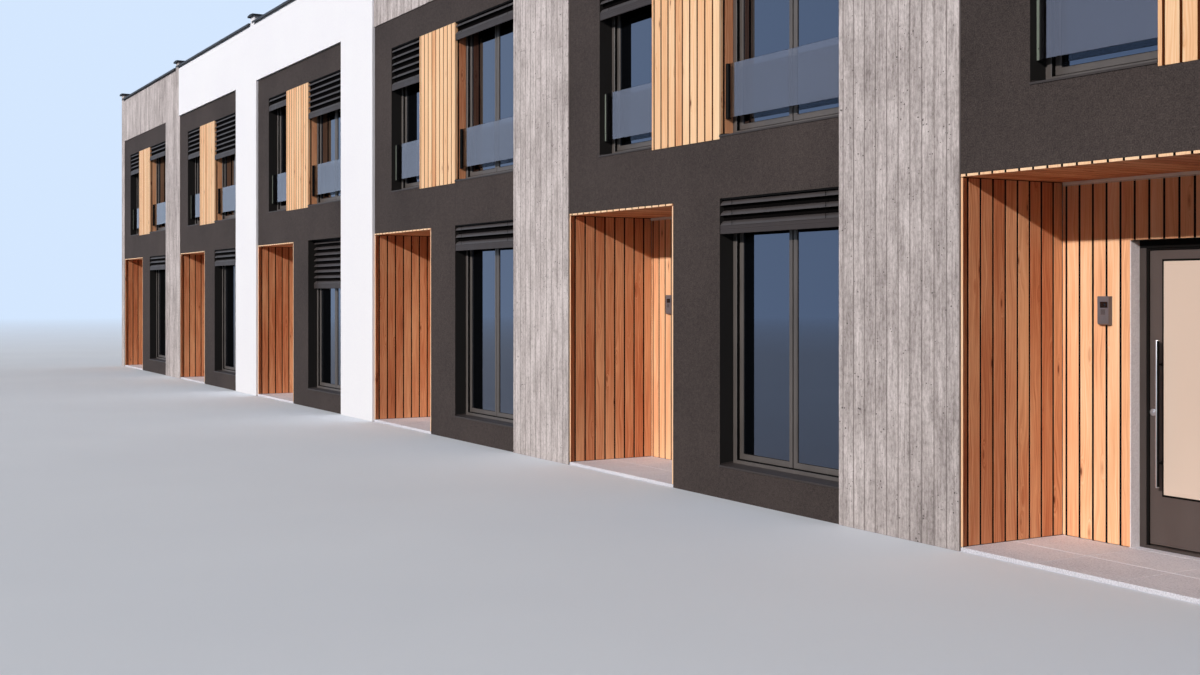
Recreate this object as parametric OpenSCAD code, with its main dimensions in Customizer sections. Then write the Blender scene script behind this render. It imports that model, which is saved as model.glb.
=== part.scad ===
// Terraced row of two-storey houses with flat roofs.
// X runs along the row, the street front faces -Y, the ground is z = 0.
// The origin lies on the ground below the middle of the row.

/* [Row] */
// Number of whole houses in the row
house_n = 6; // [1:1:6]
// Width of one house, from one party wall to the next
house_w = 5850; // [5600:10:6200]
// Depth of a house between its two rendered faces
house_d = 10600; // [8000:100:12000]
// Thickness of the party walls
party_t = 240; // [200:10:300]
// Distance from a party wall's face to the left edge of the next bay
bay_inset = 105; // [80:5:140]
// Thickness of the front and rear walls
wall_t = 360; // [300:10:480]
// Width of the dark bay that holds the porch and the windows
bay_w = 4510; // [4400:10:4700]
// How far the concrete facing stands in front of the dark render
concrete_proud = 15; // [5:1:30]
// How far the white facing stands in front of the dark render
white_proud = 40; // [31:1:60]

/* [Levels] */
// Top of the ground floor
ground_floor_z = 50; // [45:1:80]
// Sill of the ground floor windows
ground_sill_z = 290; // [150:5:600]
// Head of the porch and of the ground floor windows
ground_head_z = 2710; // [2500:5:2900]
// Top of the first floor
first_floor_z = 3000; // [2950:5:3200]
// Sill of the upper windows
upper_sill_z = 3275; // [3210:5:3600]
// Head of the upper windows
upper_head_z = 5285; // [5000:5:5400]
// Underside of the facing band at the top
band_z = 5685; // [5500:5:5900]
// Thickness of the roof deck
roof_deck_t = 300; // [200:10:350]
// Least thickness of the insulation and membrane on the deck
roof_cover_t = 120; // [60:10:200]
// Fall of the roof covering from the street side to the rear
roof_fall = 100; // [50:10:160]
// Top of the parapet walls, under their coping
parapet_z = 6755; // [6500:5:7000]

/* [Roof metal] */
// Thickness of the coping plate
coping_plate = 20; // [18:1:30]
// Height of the coping's drip edge
coping_drip = 90; // [50:5:120]
// Overhang of a coping or cap beyond the wall below it
coping_over = 45; // [25:1:60]
// Thickness of a drip edge
drip_t = 20; // [3:1:24]
// Height of a party wall's upstand above the parapet
upstand_h = 140; // [110:5:300]
// Height of the drip edge of a party wall cap
cap_drip = 45; // [30:5:90]
// Fall of a coping towards the roof
coping_fall = 10; // [5:1:15]

/* [Porch] */
// Width of the porch recess
porch_w = 2055; // [2000:5:2200]
// Depth of the porch recess to its boards
porch_d = 1040; // [900:10:1300]
// Top of the stone paving in the porch
porch_z = 30; // [20:1:40]
// Thickness of the boards that line the porch
lining_t = 20; // [15:1:30]
// Open joint between two boards
board_gap = 16; // [6:1:20]
// Thickness of the walls round the porch
porch_wall_t = 240; // [220:10:320]
// Width of the grey reveal that frames the doorway
reveal_w = 8; // [6:1:50]
// Depth of the light bar
light_d = 20; // [15:1:30]
// Height of the light bar
light_h = 16; // [10:1:30]
// Drop of the light bar below the soffit boards
light_drop = 15; // [5:1:40]
// Width of the entry panel
panel_w = 100; // [80:5:140]
// Height of the entry panel
panel_h = 210; // [150:5:260]
// Depth of the entry panel
panel_d = 40; // [20:1:45]
// Rim round the entry panel's face
panel_rim = 6; // [3:1:8]
// Diameter of the camera's ring
lens_dia = 36; // [24:1:44]
// Distance of the camera below the panel's top
lens_drop = 62; // [45:1:80]
// Diameter of the call button
button_dia = 28; // [20:1:36]
// Height of the call button above the panel's bottom
button_rise = 45; // [30:1:60]
// Distance of the entry panel from the doorway
panel_gap = 161; // [80:1:250]
// Bottom of the entry panel
panel_z = 1622; // [1300:1:1700]

/* [Front door] */
// Distance of the doorway from the porch's right side
door_right = 312; // [250:1:360]
// Width of the doorway
door_w = 1120; // [1020:10:1200]
// Top of the doorway
door_z = 2234; // [2100:1:2300]
// Setback of the door frame behind the porch boards
door_setback = 96; // [60:1:110]
// Visible width of the door frame
door_frame_w = 65; // [50:1:80]
// Thickness of the frame's outer stop
door_stop_t = 20; // [12:1:25]
// How far the stop covers the edge of the leaf
door_lap = 15; // [10:1:20]
// Thickness of the door leaf
leaf_t = 60; // [50:1:70]
// Gap between the leaf and the stop
leaf_seal = 5; // [5:1:8]
// Gap round the edges of the leaf
leaf_gap = 8; // [8:1:12]
// Height of the threshold above the ground floor
threshold_h = 2; // [1:1:5]
// Width of the leaf's border round its pale panel
leaf_border = 127; // [100:1:160]
// Height of the leaf's border above and below its pale panel
leaf_rail_low = 360; // [200:5:450]
// Height of the leaf's border above its pale panel
leaf_rail_top = 100; // [80:5:160]
// Thickness of the pale panel in front of the leaf
inlay_t = 4; // [2:1:8]
// Diameter of the pull handle
pull_dia = 28; // [20:1:40]
// Length of the pull handle
pull_l = 1050; // [600:10:1400]
// Bottom of the pull handle
pull_z = 474; // [300:1:700]
// Distance of the pull handle from the leaf's lock edge
pull_inset = 117; // [70:1:119]
// Clear space between the pull handle and the leaf
pull_clear = 42; // [30:1:60]
// Diameter of a standoff of the pull handle
pull_post_dia = 14; // [8:1:20]
// Distance of a standoff from the pull handle's end
pull_post_inset = 175; // [60:5:300]
// Diameter of the lock's rose
rose_dia = 52; // [40:1:60]
// Thickness of the lock's rose
rose_t = 8; // [5:1:12]
// Height of the lock
rose_z = 1003; // [900:1:1150]
// Distance of the lock from the leaf's lock edge
rose_inset = 40; // [35:1:45]
// Diameter of the lock's cylinder
lock_dia = 18; // [14:1:22]
// How far the cylinder stands out of the rose
lock_proud = 3; // [1:1:5]
// Radius of a hinge barrel
hinge_r = 9; // [7:1:12]
// Height of one knuckle of a hinge
knuckle_h = 60; // [40:5:80]
// Thickness of a hinge's flap
flap_t = 4; // [3:1:6]
// Width of a hinge's flap
flap_w = 36; // [25:1:45]

/* [Windows] */
// Left edge of the narrow window in the bay
narrow_x = 650; // [500:5:800]
// Width of the narrow window
narrow_w = 1030; // [800:5:1100]
// Left edge of the wide window in the bay
wide_x = 2830; // [2750:5:2900]
// Setback of the window frames behind the render
frame_setback = 150; // [149:1:170]
// Depth of a window frame
frame_d = 80; // [70:1:100]
// Visible width of a window frame
frame_w = 51; // [44:1:70]
// Visible width of a sash round its glass
sash_w = 60; // [50:1:68]
// Setback of a sash behind the frame's face
sash_setback = 29; // [20:1:36]
// Width of the bead round the glass
bead_w = 8; // [6:1:12]
// Setback of the bead behind the sash face
bead_setback = 8; // [4:1:12]
// Thickness of the window glass
glass_t = 24; // [20:1:36]
// Thickness of a window sill at its front edge
sill_t = 8; // [6:1:16]
// Overhang of a window sill
sill_over = 8; // [6:1:20]
// Drop of a sill's drip nose
sill_nose = 8; // [6:1:14]
// Thickness of a sill's drip nose
sill_nose_t = 4; // [3:1:5]
// Rise of a window sill towards the frame
sill_rise = 12; // [6:1:20]

/* [Timber slats] */
// How far the slats stand in front of the render
slat_proud = 5; // [3:1:12]
// Thickness of a slat
slat_t = 22; // [16:1:24]
// Pitch of the slats
slat_pitch = 125; // [90:1:140]
// Open joint between two slats
slat_gap = 12; // [6:1:16]
// Width of the corner slat beside the wide window
slat_last_w = 98; // [80:1:125]
// How far the slats run down past the window openings
slat_drop = 27; // [10:1:40]
// Depth of the recess in the wall behind the slats
recess_d = 46; // [40:1:60]
// Height of a batten behind the slats
batten_h = 60; // [40:5:80]
// Height of the lowest and highest batten's outer edge from the panel's ends
batten_inset = 150; // [80:5:300]
// Depth of the corner board behind the render face
corner_d = 35; // [28:1:42]
// Depth of the panel's return in the window opening
return_d = 148; // [100:1:148]
// Thickness of the panel's return
slat_return_t = 20; // [15:1:30]

/* [Blinds] */
// Height of the head rail that carries a blind
rail_h = 14; // [10:1:16]
// Depth of a head rail
rail_d = 34; // [28:1:36]
// Wall of a head rail
rail_wall = 3; // [2:1:4]
// Slats showing in each house's narrow upper window
narrow_blinds = [5, 6, 2, 6, 6, 3];
// Slats showing in each house's wide upper window
wide_blinds = [3, 8, 6, 2, 2, 2];
// Slats showing in each house's ground floor window
ground_blinds = [3, 3, 8, 3, 3, 3];
// Houses whose ground floor blind hangs deeper in its opening, with a 1 for each of them
deep_blinds = [0, 0, 1, 0, 0, 0];
// Setback of such a deeper blind behind the render
deep_setback = 98; // [60:1:100]
// Setback of the other blinds behind the render
blind_setback = 3; // [2:1:8]
// Clearance between a blind and the jambs
blind_play = 4; // [3:1:10]
// Width of a blind slat
blind_slat_w = 62; // [50:1:64]
// Height of the curve of a blind slat
blind_slat_rise = 7; // [4:1:10]
// Thickness of a blind slat
blind_slat_t = 3; // [2:0.5:4]
// Fall of a slat from its back edge to its front edge, in degrees
blind_tilt = 46; // [40:1:55]
// Pitch of the slats
blind_pitch = 92; // [88:1:98]
// Distance of the first slat's front edge below the head
blind_first = 64; // [62:1:74]
// Height of a blind's bottom bar
blind_bar_h = 75; // [50:1:100]
// Depth of a blind's bottom bar
blind_bar_d = 16; // [12:1:20]
// Width of the ladder tapes that carry the slats
tape_w = 10; // [6:1:16]
// Thickness of a ladder tape
tape_t = 3; // [2:1:5]
// Distance of the outer ladder tapes from a blind's ends
tape_inset = 180; // [120:5:260]

/* [Balustrades] */
// Setback of the balustrade glass behind the render
guard_setback = 78; // [72:1:84]
// Thickness of the balustrade glass
guard_t = 12; // [10:1:16]
// Bottom of the balustrade glass above the window sill
guard_low = 150; // [120:5:170]
// Height of the balustrade glass
guard_h = 500; // [450:5:900]
// Width of a balustrade's side channel
channel_w = 36; // [28:1:45]
// Wall of a balustrade's side channel
channel_wall = 6; // [4:1:8]
// Depth of a balustrade's side channel
channel_d = 40; // [34:1:44]
// Play of the glass in its channel
channel_play = 0.3; // [0.2:0.1:1]

/* [Hidden] */

// Seating gap between a moving piece and what carries it
seat = 0.3;
// Length by which a cutting solid runs past the face it cuts
cut = 1;
row_l = house_n * house_w + party_t;
row_x = -row_l / 2;
y_f = -house_d / 2;
pillar_w = house_w - bay_w;
wide_w = bay_w - wide_x;
party_x = house_w - bay_inset - party_t;
party_end_x = house_w - bay_inset;
room_x = [-bay_inset, party_x];
house_last = house_n - 1;
houses = [for (i = [0:house_last]) i];
ground_h = ground_head_z - ground_sill_z;
upper_h = upper_head_z - upper_sill_z;
upstand_z = parapet_z + upstand_h;

// Facing of a house: 0 is board-marked concrete, 1 is white render
function facing(i) = (floor((i + 1) / 2)) % 2;
function proud(i) = facing(i) == 1 ? white_proud : concrete_proud;
function bay_x(i) = row_x + party_t + bay_inset + i * house_w;

white_house = [for (i = houses) if (facing(i) == 1) i];
concrete_house = [for (i = houses) if (facing(i) == 0) i];

// Door geometry, measured in a bay: x from its left edge, y from the render face
door_x = porch_w - door_right - door_w;
panel_x = door_x - panel_gap - panel_w;
frame_y = porch_d + door_setback;
leaf_y = frame_y + door_stop_t + leaf_seal;
leaf_back_y = leaf_y + leaf_t;
jamb_w = door_frame_w - door_lap;
leaf_x = door_x + jamb_w;
leaf_end_x = door_x + door_w - jamb_w;
leaf_low_z = ground_floor_z + threshold_h + leaf_gap;
leaf_top_z = door_z - jamb_w;
hinge_x = leaf_end_x - leaf_gap / 2;
hinge_y = leaf_back_y + hinge_r;
hinge_low = [300, 1080, 1860];
porch_wall_y = porch_d + lining_t;
porch_back_y = porch_wall_y + porch_wall_t;

// A block given by its two ends on each axis
module block(x, y, z) {
    translate([x[0], y[0], z[0]]) cube([x[1] - x[0], y[1] - y[0], z[1] - z[0]]);
}

// Places a bay's pieces: x from the bay's left edge, y from the front render face
module in_bay(i) {
    translate([bay_x(i), y_f, 0]) children();
}

// The same pieces on the front and, mirrored, on the rear
module front_and_rear() {
    children();
    mirror([0, 1, 0]) children();
}

module ground_floor() color("gainsboro") for (i = houses) in_bay(i) {
    linear_extrude(ground_floor_z) polygon([
        [room_x[0], porch_back_y], [porch_w + porch_wall_t, porch_back_y],
        [porch_w + porch_wall_t, wall_t], [room_x[1], wall_t],
        [room_x[1], house_d - wall_t], [room_x[0], house_d - wall_t]]);
}

module party_walls() color("whitesmoke") for (i = [-1:house_last]) in_bay(i) {
    block([party_x, party_end_x], [wall_t, house_d - wall_t], [0, parapet_z]);
}

module first_floor() color("gainsboro") for (i = houses) in_bay(i) {
    block(room_x, [wall_t, house_d - wall_t], [ground_head_z, first_floor_z]);
}

module roof_deck() color("silver") for (i = houses) in_bay(i) {
    block(room_x, [wall_t, house_d - wall_t], [band_z, band_z + roof_deck_t]);
}

module roof_cover() color("dimgray") for (i = houses) in_bay(i) {
    cover_z = band_z + roof_deck_t;
    translate([room_x[0], 0, 0]) rotate([90, 0, 90]) linear_extrude(room_x[1] - room_x[0]) polygon([
        [wall_t, cover_z], [house_d - wall_t, cover_z],
        [house_d - wall_t, cover_z + roof_cover_t],
        [wall_t, cover_z + roof_cover_t + roof_fall]]);
}

// A dark rendered piece of wall in a bay
module wall_piece(x, z) {
    block(x, [0, wall_t], z);
}

module ground_piers() color("#4a4240") {
    for (i = houses) in_bay(i) wall_piece([porch_w, wide_x], [0, ground_head_z]);
    mirror([0, 1, 0]) for (i = houses) in_bay(i) {
        wall_piece([0, narrow_x], [0, ground_head_z]);
        wall_piece([narrow_x + narrow_w, wide_x], [0, ground_head_z]);
    }
}

module window_walls() color("#4a4240") {
    for (i = houses) in_bay(i) wall_piece([wide_x, bay_w], [0, ground_sill_z]);
    mirror([0, 1, 0]) for (i = houses) in_bay(i) {
        wall_piece([narrow_x, narrow_x + narrow_w], [0, ground_sill_z]);
        wall_piece([wide_x, bay_w], [0, ground_sill_z]);
    }
}

// The timber slats stand between the two upper windows
slats_x = narrow_x + narrow_w;
slat_low_z = upper_sill_z - slat_drop;

module spandrels() color("#4a4240") front_and_rear() for (i = houses) in_bay(i) {
    difference() {
        wall_piece([0, bay_w], [ground_head_z, upper_sill_z]);
        block([slats_x, wide_x], [-cut, recess_d], [slat_low_z, upper_sill_z + cut]);
    }
}

// The right pier stands back behind the timber slats
module upper_piers() color("#4a4240") front_and_rear() for (i = houses) in_bay(i) {
    wall_piece([0, narrow_x], [upper_sill_z, upper_head_z]);
    block([slats_x, wide_x - slat_return_t], [recess_d, wall_t], [upper_sill_z, upper_head_z]);
}

module lintels() color("#4a4240") front_and_rear() for (i = houses) in_bay(i) {
    wall_piece([0, bay_w], [upper_head_z, band_z]);
}

// Right edge of a house's pillar: the last one ends with its party wall
function pillar_end(i) = i == house_last ? party_end_x : house_w;

// One facing pillar, which also closes the end of its party wall
module pillar(i, x) {
    in_bay(i) block(x, [-proud(i), wall_t], [0, band_z]);
}

module white_pillars() color("#f5f4fa") front_and_rear() {
    for (i = white_house) pillar(i, [bay_w, pillar_end(i)]);
}

module concrete_pillars() color("#bfb8b5") front_and_rear() {
    for (i = concrete_house) pillar(i, [bay_w, pillar_end(i)]);
    pillar(0, [-bay_inset - party_t, 0]);
}

// A stretch of facing band over the houses a to b
module band(a, b, x_low) {
    translate([0, y_f, 0]) block([x_low, bay_x(b) + pillar_end(b)], [-proud(a), wall_t],
        [band_z, parapet_z]);
}

// The first house of each stretch with one facing
starts = [for (i = houses) if (i == 0 || facing(i) != facing(i - 1)) i];
function stretch_end(i) = (i < house_last && facing(i + 1) == facing(i)) ? stretch_end(i + 1) : i;

module white_bands() color("#f5f4fa") front_and_rear() {
    for (i = starts) if (facing(i) == 1) band(i, stretch_end(i), bay_x(i));
}

module concrete_bands() color("#bfb8b5") front_and_rear() {
    for (i = starts) if (facing(i) == 0) band(i, stretch_end(i), i == 0 ? row_x : bay_x(i));
}

function upstand_proud(i) = proud(max(i, 0));

module party_upstands() for (i = [-1:house_last]) in_bay(i) {
    color(facing(max(i, 0)) == 1 ? "#f5f4fa" : "#bfb8b5")
    block([party_x, party_end_x], [-upstand_proud(i), house_d + upstand_proud(i)],
        [parapet_z, upstand_z]);
}

// A folded metal cover over a wall top, carried along X: plate with a fall, two drip edges
module coping_section(y_low, y_high) {
    low = coping_plate - coping_drip;
    polygon([
        [y_low, low], [y_low + drip_t, low], [y_low + drip_t, 0],
        [y_high - drip_t, 0], [y_high - drip_t, low], [y_high, low],
        [y_high, coping_plate - coping_fall], [y_low, coping_plate]]);
}

// The same over a party wall, carried along Y, with a plate that falls to both sides
module cap_section(x_low, x_high) {
    low = coping_plate - cap_drip;
    polygon([
        [x_low, low], [x_low + drip_t, low], [x_low + drip_t, 0],
        [x_high - drip_t, 0], [x_high - drip_t, low], [x_high, low],
        [x_high, coping_plate - coping_fall], [(x_low + x_high) / 2, coping_plate],
        [x_low, coping_plate - coping_fall]]);
}

module roof_copings() color("#2e2f33") {
    for (i = [-1:house_last]) in_bay(i) {
        y = [-upstand_proud(i) - coping_over, house_d + upstand_proud(i) + coping_over];
        translate([0, y[1], upstand_z]) rotate([90, 0, 0]) linear_extrude(y[1] - y[0])
            cap_section(party_x - coping_over, party_end_x + coping_over);
    }
    front_and_rear() for (i = houses) in_bay(i) {
        translate([room_x[0], 0, parapet_z]) rotate([90, 0, 90]) linear_extrude(room_x[1] - room_x[0])
            coping_section(-proud(i) - coping_over, wall_t + coping_over);
    }
}

// The wall behind the porch, left and right of the doorway, with its grey reveal
module porch_back_walls() color("#8d8a89") for (i = houses) in_bay(i) {
    linear_extrude(ground_head_z) polygon([
        [-bay_inset, wall_t], [0, wall_t], [0, porch_wall_y],
        [door_x - reveal_w, porch_wall_y], [door_x - reveal_w, porch_d],
        [door_x, porch_d], [door_x, porch_back_y], [-bay_inset, porch_back_y]]);
    linear_extrude(ground_head_z) polygon([
        [door_x + door_w, porch_d], [door_x + door_w + reveal_w, porch_d],
        [door_x + door_w + reveal_w, porch_wall_y], [porch_w, porch_wall_y],
        [porch_w, porch_back_y], [door_x + door_w, porch_back_y]]);
}

module porch_side_walls() color("#8d8a89") for (i = houses) in_bay(i) {
    block([porch_w, porch_w + porch_wall_t], [wall_t, porch_back_y], [0, ground_head_z]);
}

module door_lintels() color("#8d8a89") for (i = houses) in_bay(i) {
    block([door_x, door_x + door_w], [porch_wall_y, porch_back_y], [door_z, ground_head_z]);
    block([door_x, door_x + door_w], [porch_d, porch_wall_y], [door_z, door_z + reveal_w]);
}

module porch_paving() color("#cfccd0") for (i = houses) in_bay(i) {
    block([0, porch_w], [0, porch_d], [0, porch_z]);
    block([door_x, door_x + door_w], [porch_d, porch_back_y], [0, porch_z]);
}

soffit_z = ground_head_z - lining_t;

module porch_linings() color("#b5693f") for (i = houses) in_bay(i) {
    back_x = lining_t + board_gap;
    lining_z = [porch_z, soffit_z - board_gap];
    block([0, lining_t], [0, porch_d], lining_z);
    block([porch_w - lining_t, porch_w], [0, porch_d], lining_z);
    block([0, porch_w], [0, porch_d], [soffit_z, ground_head_z]);
    block([back_x, door_x - reveal_w], [porch_d, porch_wall_y], lining_z);
    block([door_x + door_w + reveal_w, porch_w - back_x], [porch_d, porch_wall_y], lining_z);
    block([door_x, door_x + door_w], [porch_d, porch_wall_y],
        [door_z + reveal_w, soffit_z - board_gap]);
}

// Full slats between the two upper windows, the cut slat at their left and the corner slat
slats_end_x = wide_x - slat_last_w;
slat_n = floor((slats_end_x - slats_x) / slat_pitch);
slat_first_w = slats_end_x - slats_x - slat_n * slat_pitch;

// Slats with open joints on three battens, and a return of two boards into the wide window
module slat_panels() color("#f0c090") front_and_rear() for (i = houses) in_bay(i) {
    slat_y = [-slat_proud, slat_t - slat_proud];
    slat_z = [slat_low_z, upper_head_z];
    if (slat_first_w > slat_gap) block([slats_x, slats_x + slat_first_w - slat_gap], slat_y, slat_z);
    for (k = [1:slat_n]) {
        block([slats_end_x - k * slat_pitch, slats_end_x - (k - 1) * slat_pitch - slat_gap], slat_y, slat_z);
    }
    block([slats_end_x, wide_x], slat_y, slat_z);
    for (z = [upper_sill_z + batten_inset, (upper_sill_z + upper_head_z - batten_h) / 2,
            upper_head_z - batten_inset - batten_h]) {
        block([slats_x, wide_x - slat_return_t], [slat_y[1], recess_d], [z, z + batten_h]);
    }
    return_x = [wide_x - slat_return_t, wide_x];
    block(return_x, [slat_y[1], corner_d], slat_z);
    block(return_x, [corner_d + slat_gap, return_d], [upper_sill_z, upper_head_z]);
}

// A rectangular ring in the X-Z plane
module ring(w, h, bar, y) {
    difference() {
        block([0, w], y, [0, h]);
        block([bar, w - bar], [y[0] - cut, y[1] + cut], [bar, h - bar]);
    }
}

// A window in its opening: frame, and sashes with a stepped bead round the glass
module window(w, h, leaves) {
    translate([0, frame_setback, 0]) {
        ring(w, h, frame_w, [0, frame_d]);
        inner_w = w - 2 * frame_w;
        leaf_w = inner_w / leaves;
        leaf_h = h - 2 * frame_w;
        for (k = [0:leaves - 1]) translate([frame_w + k * leaf_w, 0, frame_w]) {
            ring(leaf_w, leaf_h, sash_w - bead_w, [sash_setback, frame_d]);
            ring(leaf_w, leaf_h, sash_w, [sash_setback + bead_setback, frame_d - bead_setback]);
        }
    }
}

module panes(w, h, leaves) {
    inner_w = w - 2 * frame_w;
    leaf_w = inner_w / leaves;
    mid_y = frame_setback + sash_setback + (frame_d - sash_setback) / 2;
    for (k = [0:leaves - 1]) {
        x_low = frame_w + k * leaf_w + sash_w;
        block([x_low, x_low + leaf_w - 2 * sash_w], [mid_y - glass_t / 2, mid_y + glass_t / 2],
            [frame_w + sash_w, h - frame_w - sash_w]);
    }
}

// Openings with a window, as x, width, sill, height, leaves
upper_openings = [[narrow_x, narrow_w, upper_sill_z, upper_h, 1],
    [wide_x, wide_w, upper_sill_z, upper_h, 2]];
front_ground_openings = [[wide_x, wide_w, ground_sill_z, ground_h, 2]];
rear_ground_openings = [[narrow_x, narrow_w, ground_sill_z, ground_h, 1],
    [wide_x, wide_w, ground_sill_z, ground_h, 2]];

// Calls a piece for each opening in a list: $w, $h and $leaves hold its size
module at_openings(list) {
    for (o = list) translate([o[0], 0, o[2]]) {
        $w = o[1];
        $h = o[3];
        $leaves = o[4];
        children();
    }
}

module at_ground_openings() {
    for (i = houses) in_bay(i) at_openings(front_ground_openings) children();
    mirror([0, 1, 0]) for (i = houses) in_bay(i) at_openings(rear_ground_openings) children();
}

module at_upper_openings() {
    front_and_rear() for (i = houses) in_bay(i) at_openings(upper_openings) children();
}

module ground_windows() color("#57504c") at_ground_openings() window($w, $h, $leaves);

module upper_windows() color("#57504c") at_upper_openings() window($w, $h, $leaves);

module window_glass() color("#9fb6cc", 0.5) {
    at_ground_openings() panes($w, $h, $leaves);
    at_upper_openings() panes($w, $h, $leaves);
}

// A folded sill: sloping top, drip nose, and a foot on the wall below
module sill(w) {
    rotate([90, 0, 90]) linear_extrude(w) polygon([
        [-sill_over, -sill_nose], [-sill_over + sill_nose_t, -sill_nose],
        [-sill_over + sill_nose_t, 0], [frame_setback, 0],
        [frame_setback, sill_t + sill_rise], [-sill_over, sill_t]]);
}

module window_sills() color("#6b6461") {
    at_ground_openings() sill($w);
    at_upper_openings() sill($w);
}

// A head rail under the lintel: a folded channel, open at its top
module head_rail(w, h, setback) {
    y = [setback + blind_bar_d / 2 - rail_wall, setback + blind_bar_d / 2 - rail_wall + rail_d];
    x = [blind_play, w - blind_play];
    difference() {
        block(x, y, [h - rail_h, h]);
        block([x[0] - cut, x[1] + cut], [y[0] + rail_wall, y[1] - rail_wall],
            [h - rail_h + rail_wall, h + cut]);
    }
}

// Section of a curved slat: a shallow arch between two circles, with its chord level
slat_radius = (pow(blind_slat_w / 2, 2) + pow(blind_slat_rise, 2)) / (2 * blind_slat_rise);

module blind_slat(length) {
    rotate([90, 0, 90]) linear_extrude(length) intersection() {
        translate([0, blind_slat_rise - slat_radius]) difference() {
            circle(r = slat_radius, $fn = 180);
            circle(r = slat_radius - blind_slat_t, $fn = 180);
        }
        translate([-blind_slat_w / 2, -blind_slat_t])
            square([blind_slat_w, blind_slat_rise + 2 * blind_slat_t]);
    }
}

// Height and depth that a tilted slat takes up
slat_high = blind_slat_w * sin(blind_tilt);
slat_deep = blind_slat_w * cos(blind_tilt);

// A blind that hangs from its head rail: tilted slats, the lowest one on the bottom bar
module blind(w, h, setback, slats) {
    x = [blind_play, w - blind_play];
    bar_top = h - blind_first - (slats - 1) * blind_pitch;
    for (k = [1:slats]) {
        translate([x[0], setback + slat_deep / 2, bar_top + (slats - k) * blind_pitch + slat_high / 2])
            rotate([blind_tilt, 0, 0]) blind_slat(x[1] - x[0]);
    }
    block(x, [setback, setback + blind_bar_d], [bar_top - blind_bar_h, bar_top]);
    tape_y = setback + blind_bar_d / 2;
    for (t = [tape_inset, w - tape_inset]) {
        block([t - tape_w / 2, t + tape_w / 2], [tape_y - tape_t / 2, tape_y + tape_t / 2],
            [bar_top - cut, h - rail_h]);
    }
}

// Calls a piece for each blind: $setback and $slats hold its place and size
module at_blinds() for (i = houses) in_bay(i) {
    at_openings(front_ground_openings) {
        $setback = deep_blinds[i] == 1 ? deep_setback : blind_setback;
        $slats = ground_blinds[i];
        children();
    }
    for (o = [0, 1]) at_openings([upper_openings[o]]) {
        $setback = blind_setback;
        $slats = o == 0 ? narrow_blinds[i] : wide_blinds[i];
        children();
    }
}

module blind_rails() color("#2b2b2d") at_blinds() head_rail($w, $h, $setback);

module blinds() color("#5b5755") at_blinds() blind($w, $h, $setback, $slats);

guard_y = [guard_setback, guard_setback + guard_t];

module balustrades() color("#b8d0de", 0.4) at_upper_openings() {
    block([channel_wall + channel_play, $w - channel_wall - channel_play], guard_y,
        [guard_low + channel_wall + channel_play, guard_low + guard_h]);
}

// Side channels of a balustrade: a groove holds the edge of the glass and a foot carries it
module balustrade_channels() color("#2b2b2d") at_upper_openings() {
    y_mid = guard_setback + guard_t / 2;
    y = [y_mid - channel_d / 2, y_mid + channel_d / 2];
    for (side = [0, 1]) translate([side * $w, 0, 0]) mirror([side, 0, 0]) difference() {
        block([0, channel_w], y, [guard_low, guard_low + guard_h]);
        block([channel_wall, channel_w + cut], [guard_y[0] - channel_play, guard_y[1] + channel_play],
            [guard_low + channel_wall, guard_low + guard_h + cut]);
    }
}

// Door frame: outer stop, inner jambs and head, and the threshold
module door_frames() color("#4f4743") for (i = houses) in_bay(i) {
    difference() {
        block([door_x, door_x + door_w], [frame_y, leaf_back_y], [porch_z, door_z]);
        block([door_x + door_frame_w, door_x + door_w - door_frame_w],
            [frame_y - cut, leaf_back_y + cut],
            [ground_floor_z + threshold_h, door_z - door_frame_w]);
        block([leaf_x, leaf_end_x], [frame_y + door_stop_t, leaf_back_y + cut],
            [ground_floor_z + threshold_h, leaf_top_z]);
    }
    for (z = hinge_low) {
        translate([hinge_x, hinge_y, z]) cylinder(r = hinge_r, h = knuckle_h, $fn = 32);
        block([hinge_x, hinge_x + flap_w], [leaf_back_y, leaf_back_y + flap_t], [z, z + knuckle_h]);
    }
}

// Door leaf with its pale inlay and the upper hinge knuckles
module door_leaf(i) in_bay(i) {
    x = [leaf_x + leaf_gap, leaf_end_x - leaf_gap];
    color("#4f4743") {
        block(x, [leaf_y, leaf_back_y], [leaf_low_z, leaf_top_z - leaf_gap]);
        for (z = hinge_low) {
            translate([hinge_x, hinge_y, z + knuckle_h + seat])
                cylinder(r = hinge_r, h = knuckle_h, $fn = 32);
            block([hinge_x - flap_w, hinge_x], [leaf_back_y, leaf_back_y + flap_t],
                [z + knuckle_h + seat, z + 2 * knuckle_h + seat]);
        }
    }
    color("#dcc0ac") block([x[0] + leaf_border, x[1] - leaf_border], [leaf_y - inlay_t, leaf_y],
        [leaf_low_z + leaf_rail_low, leaf_top_z - leaf_rail_top]);
}

// Pull handle: a long bar on two standoffs, and the lock's round rose
module pull_handle(i) in_bay(i) color("#d8d8d8") {
    bar_y = leaf_y - pull_clear - pull_dia / 2;
    bar_x = leaf_x + leaf_gap + pull_inset;
    translate([bar_x, bar_y, pull_z]) cylinder(d = pull_dia, h = pull_l, $fn = 32);
    for (z = [pull_z + pull_post_inset, pull_z + pull_l - pull_post_inset]) {
        translate([bar_x, leaf_y, z]) rotate([90, 0, 0])
            cylinder(d = pull_post_dia, h = pull_clear + pull_dia / 2, $fn = 32);
    }
    rose_at = [leaf_x + leaf_gap + rose_inset, leaf_y, rose_z];
    translate(rose_at) rotate([90, 0, 0]) cylinder(d = rose_dia, h = rose_t, $fn = 48);
    translate(rose_at) rotate([90, 0, 0]) cylinder(d = lock_dia, h = rose_t + lock_proud, $fn = 32);
}

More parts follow.
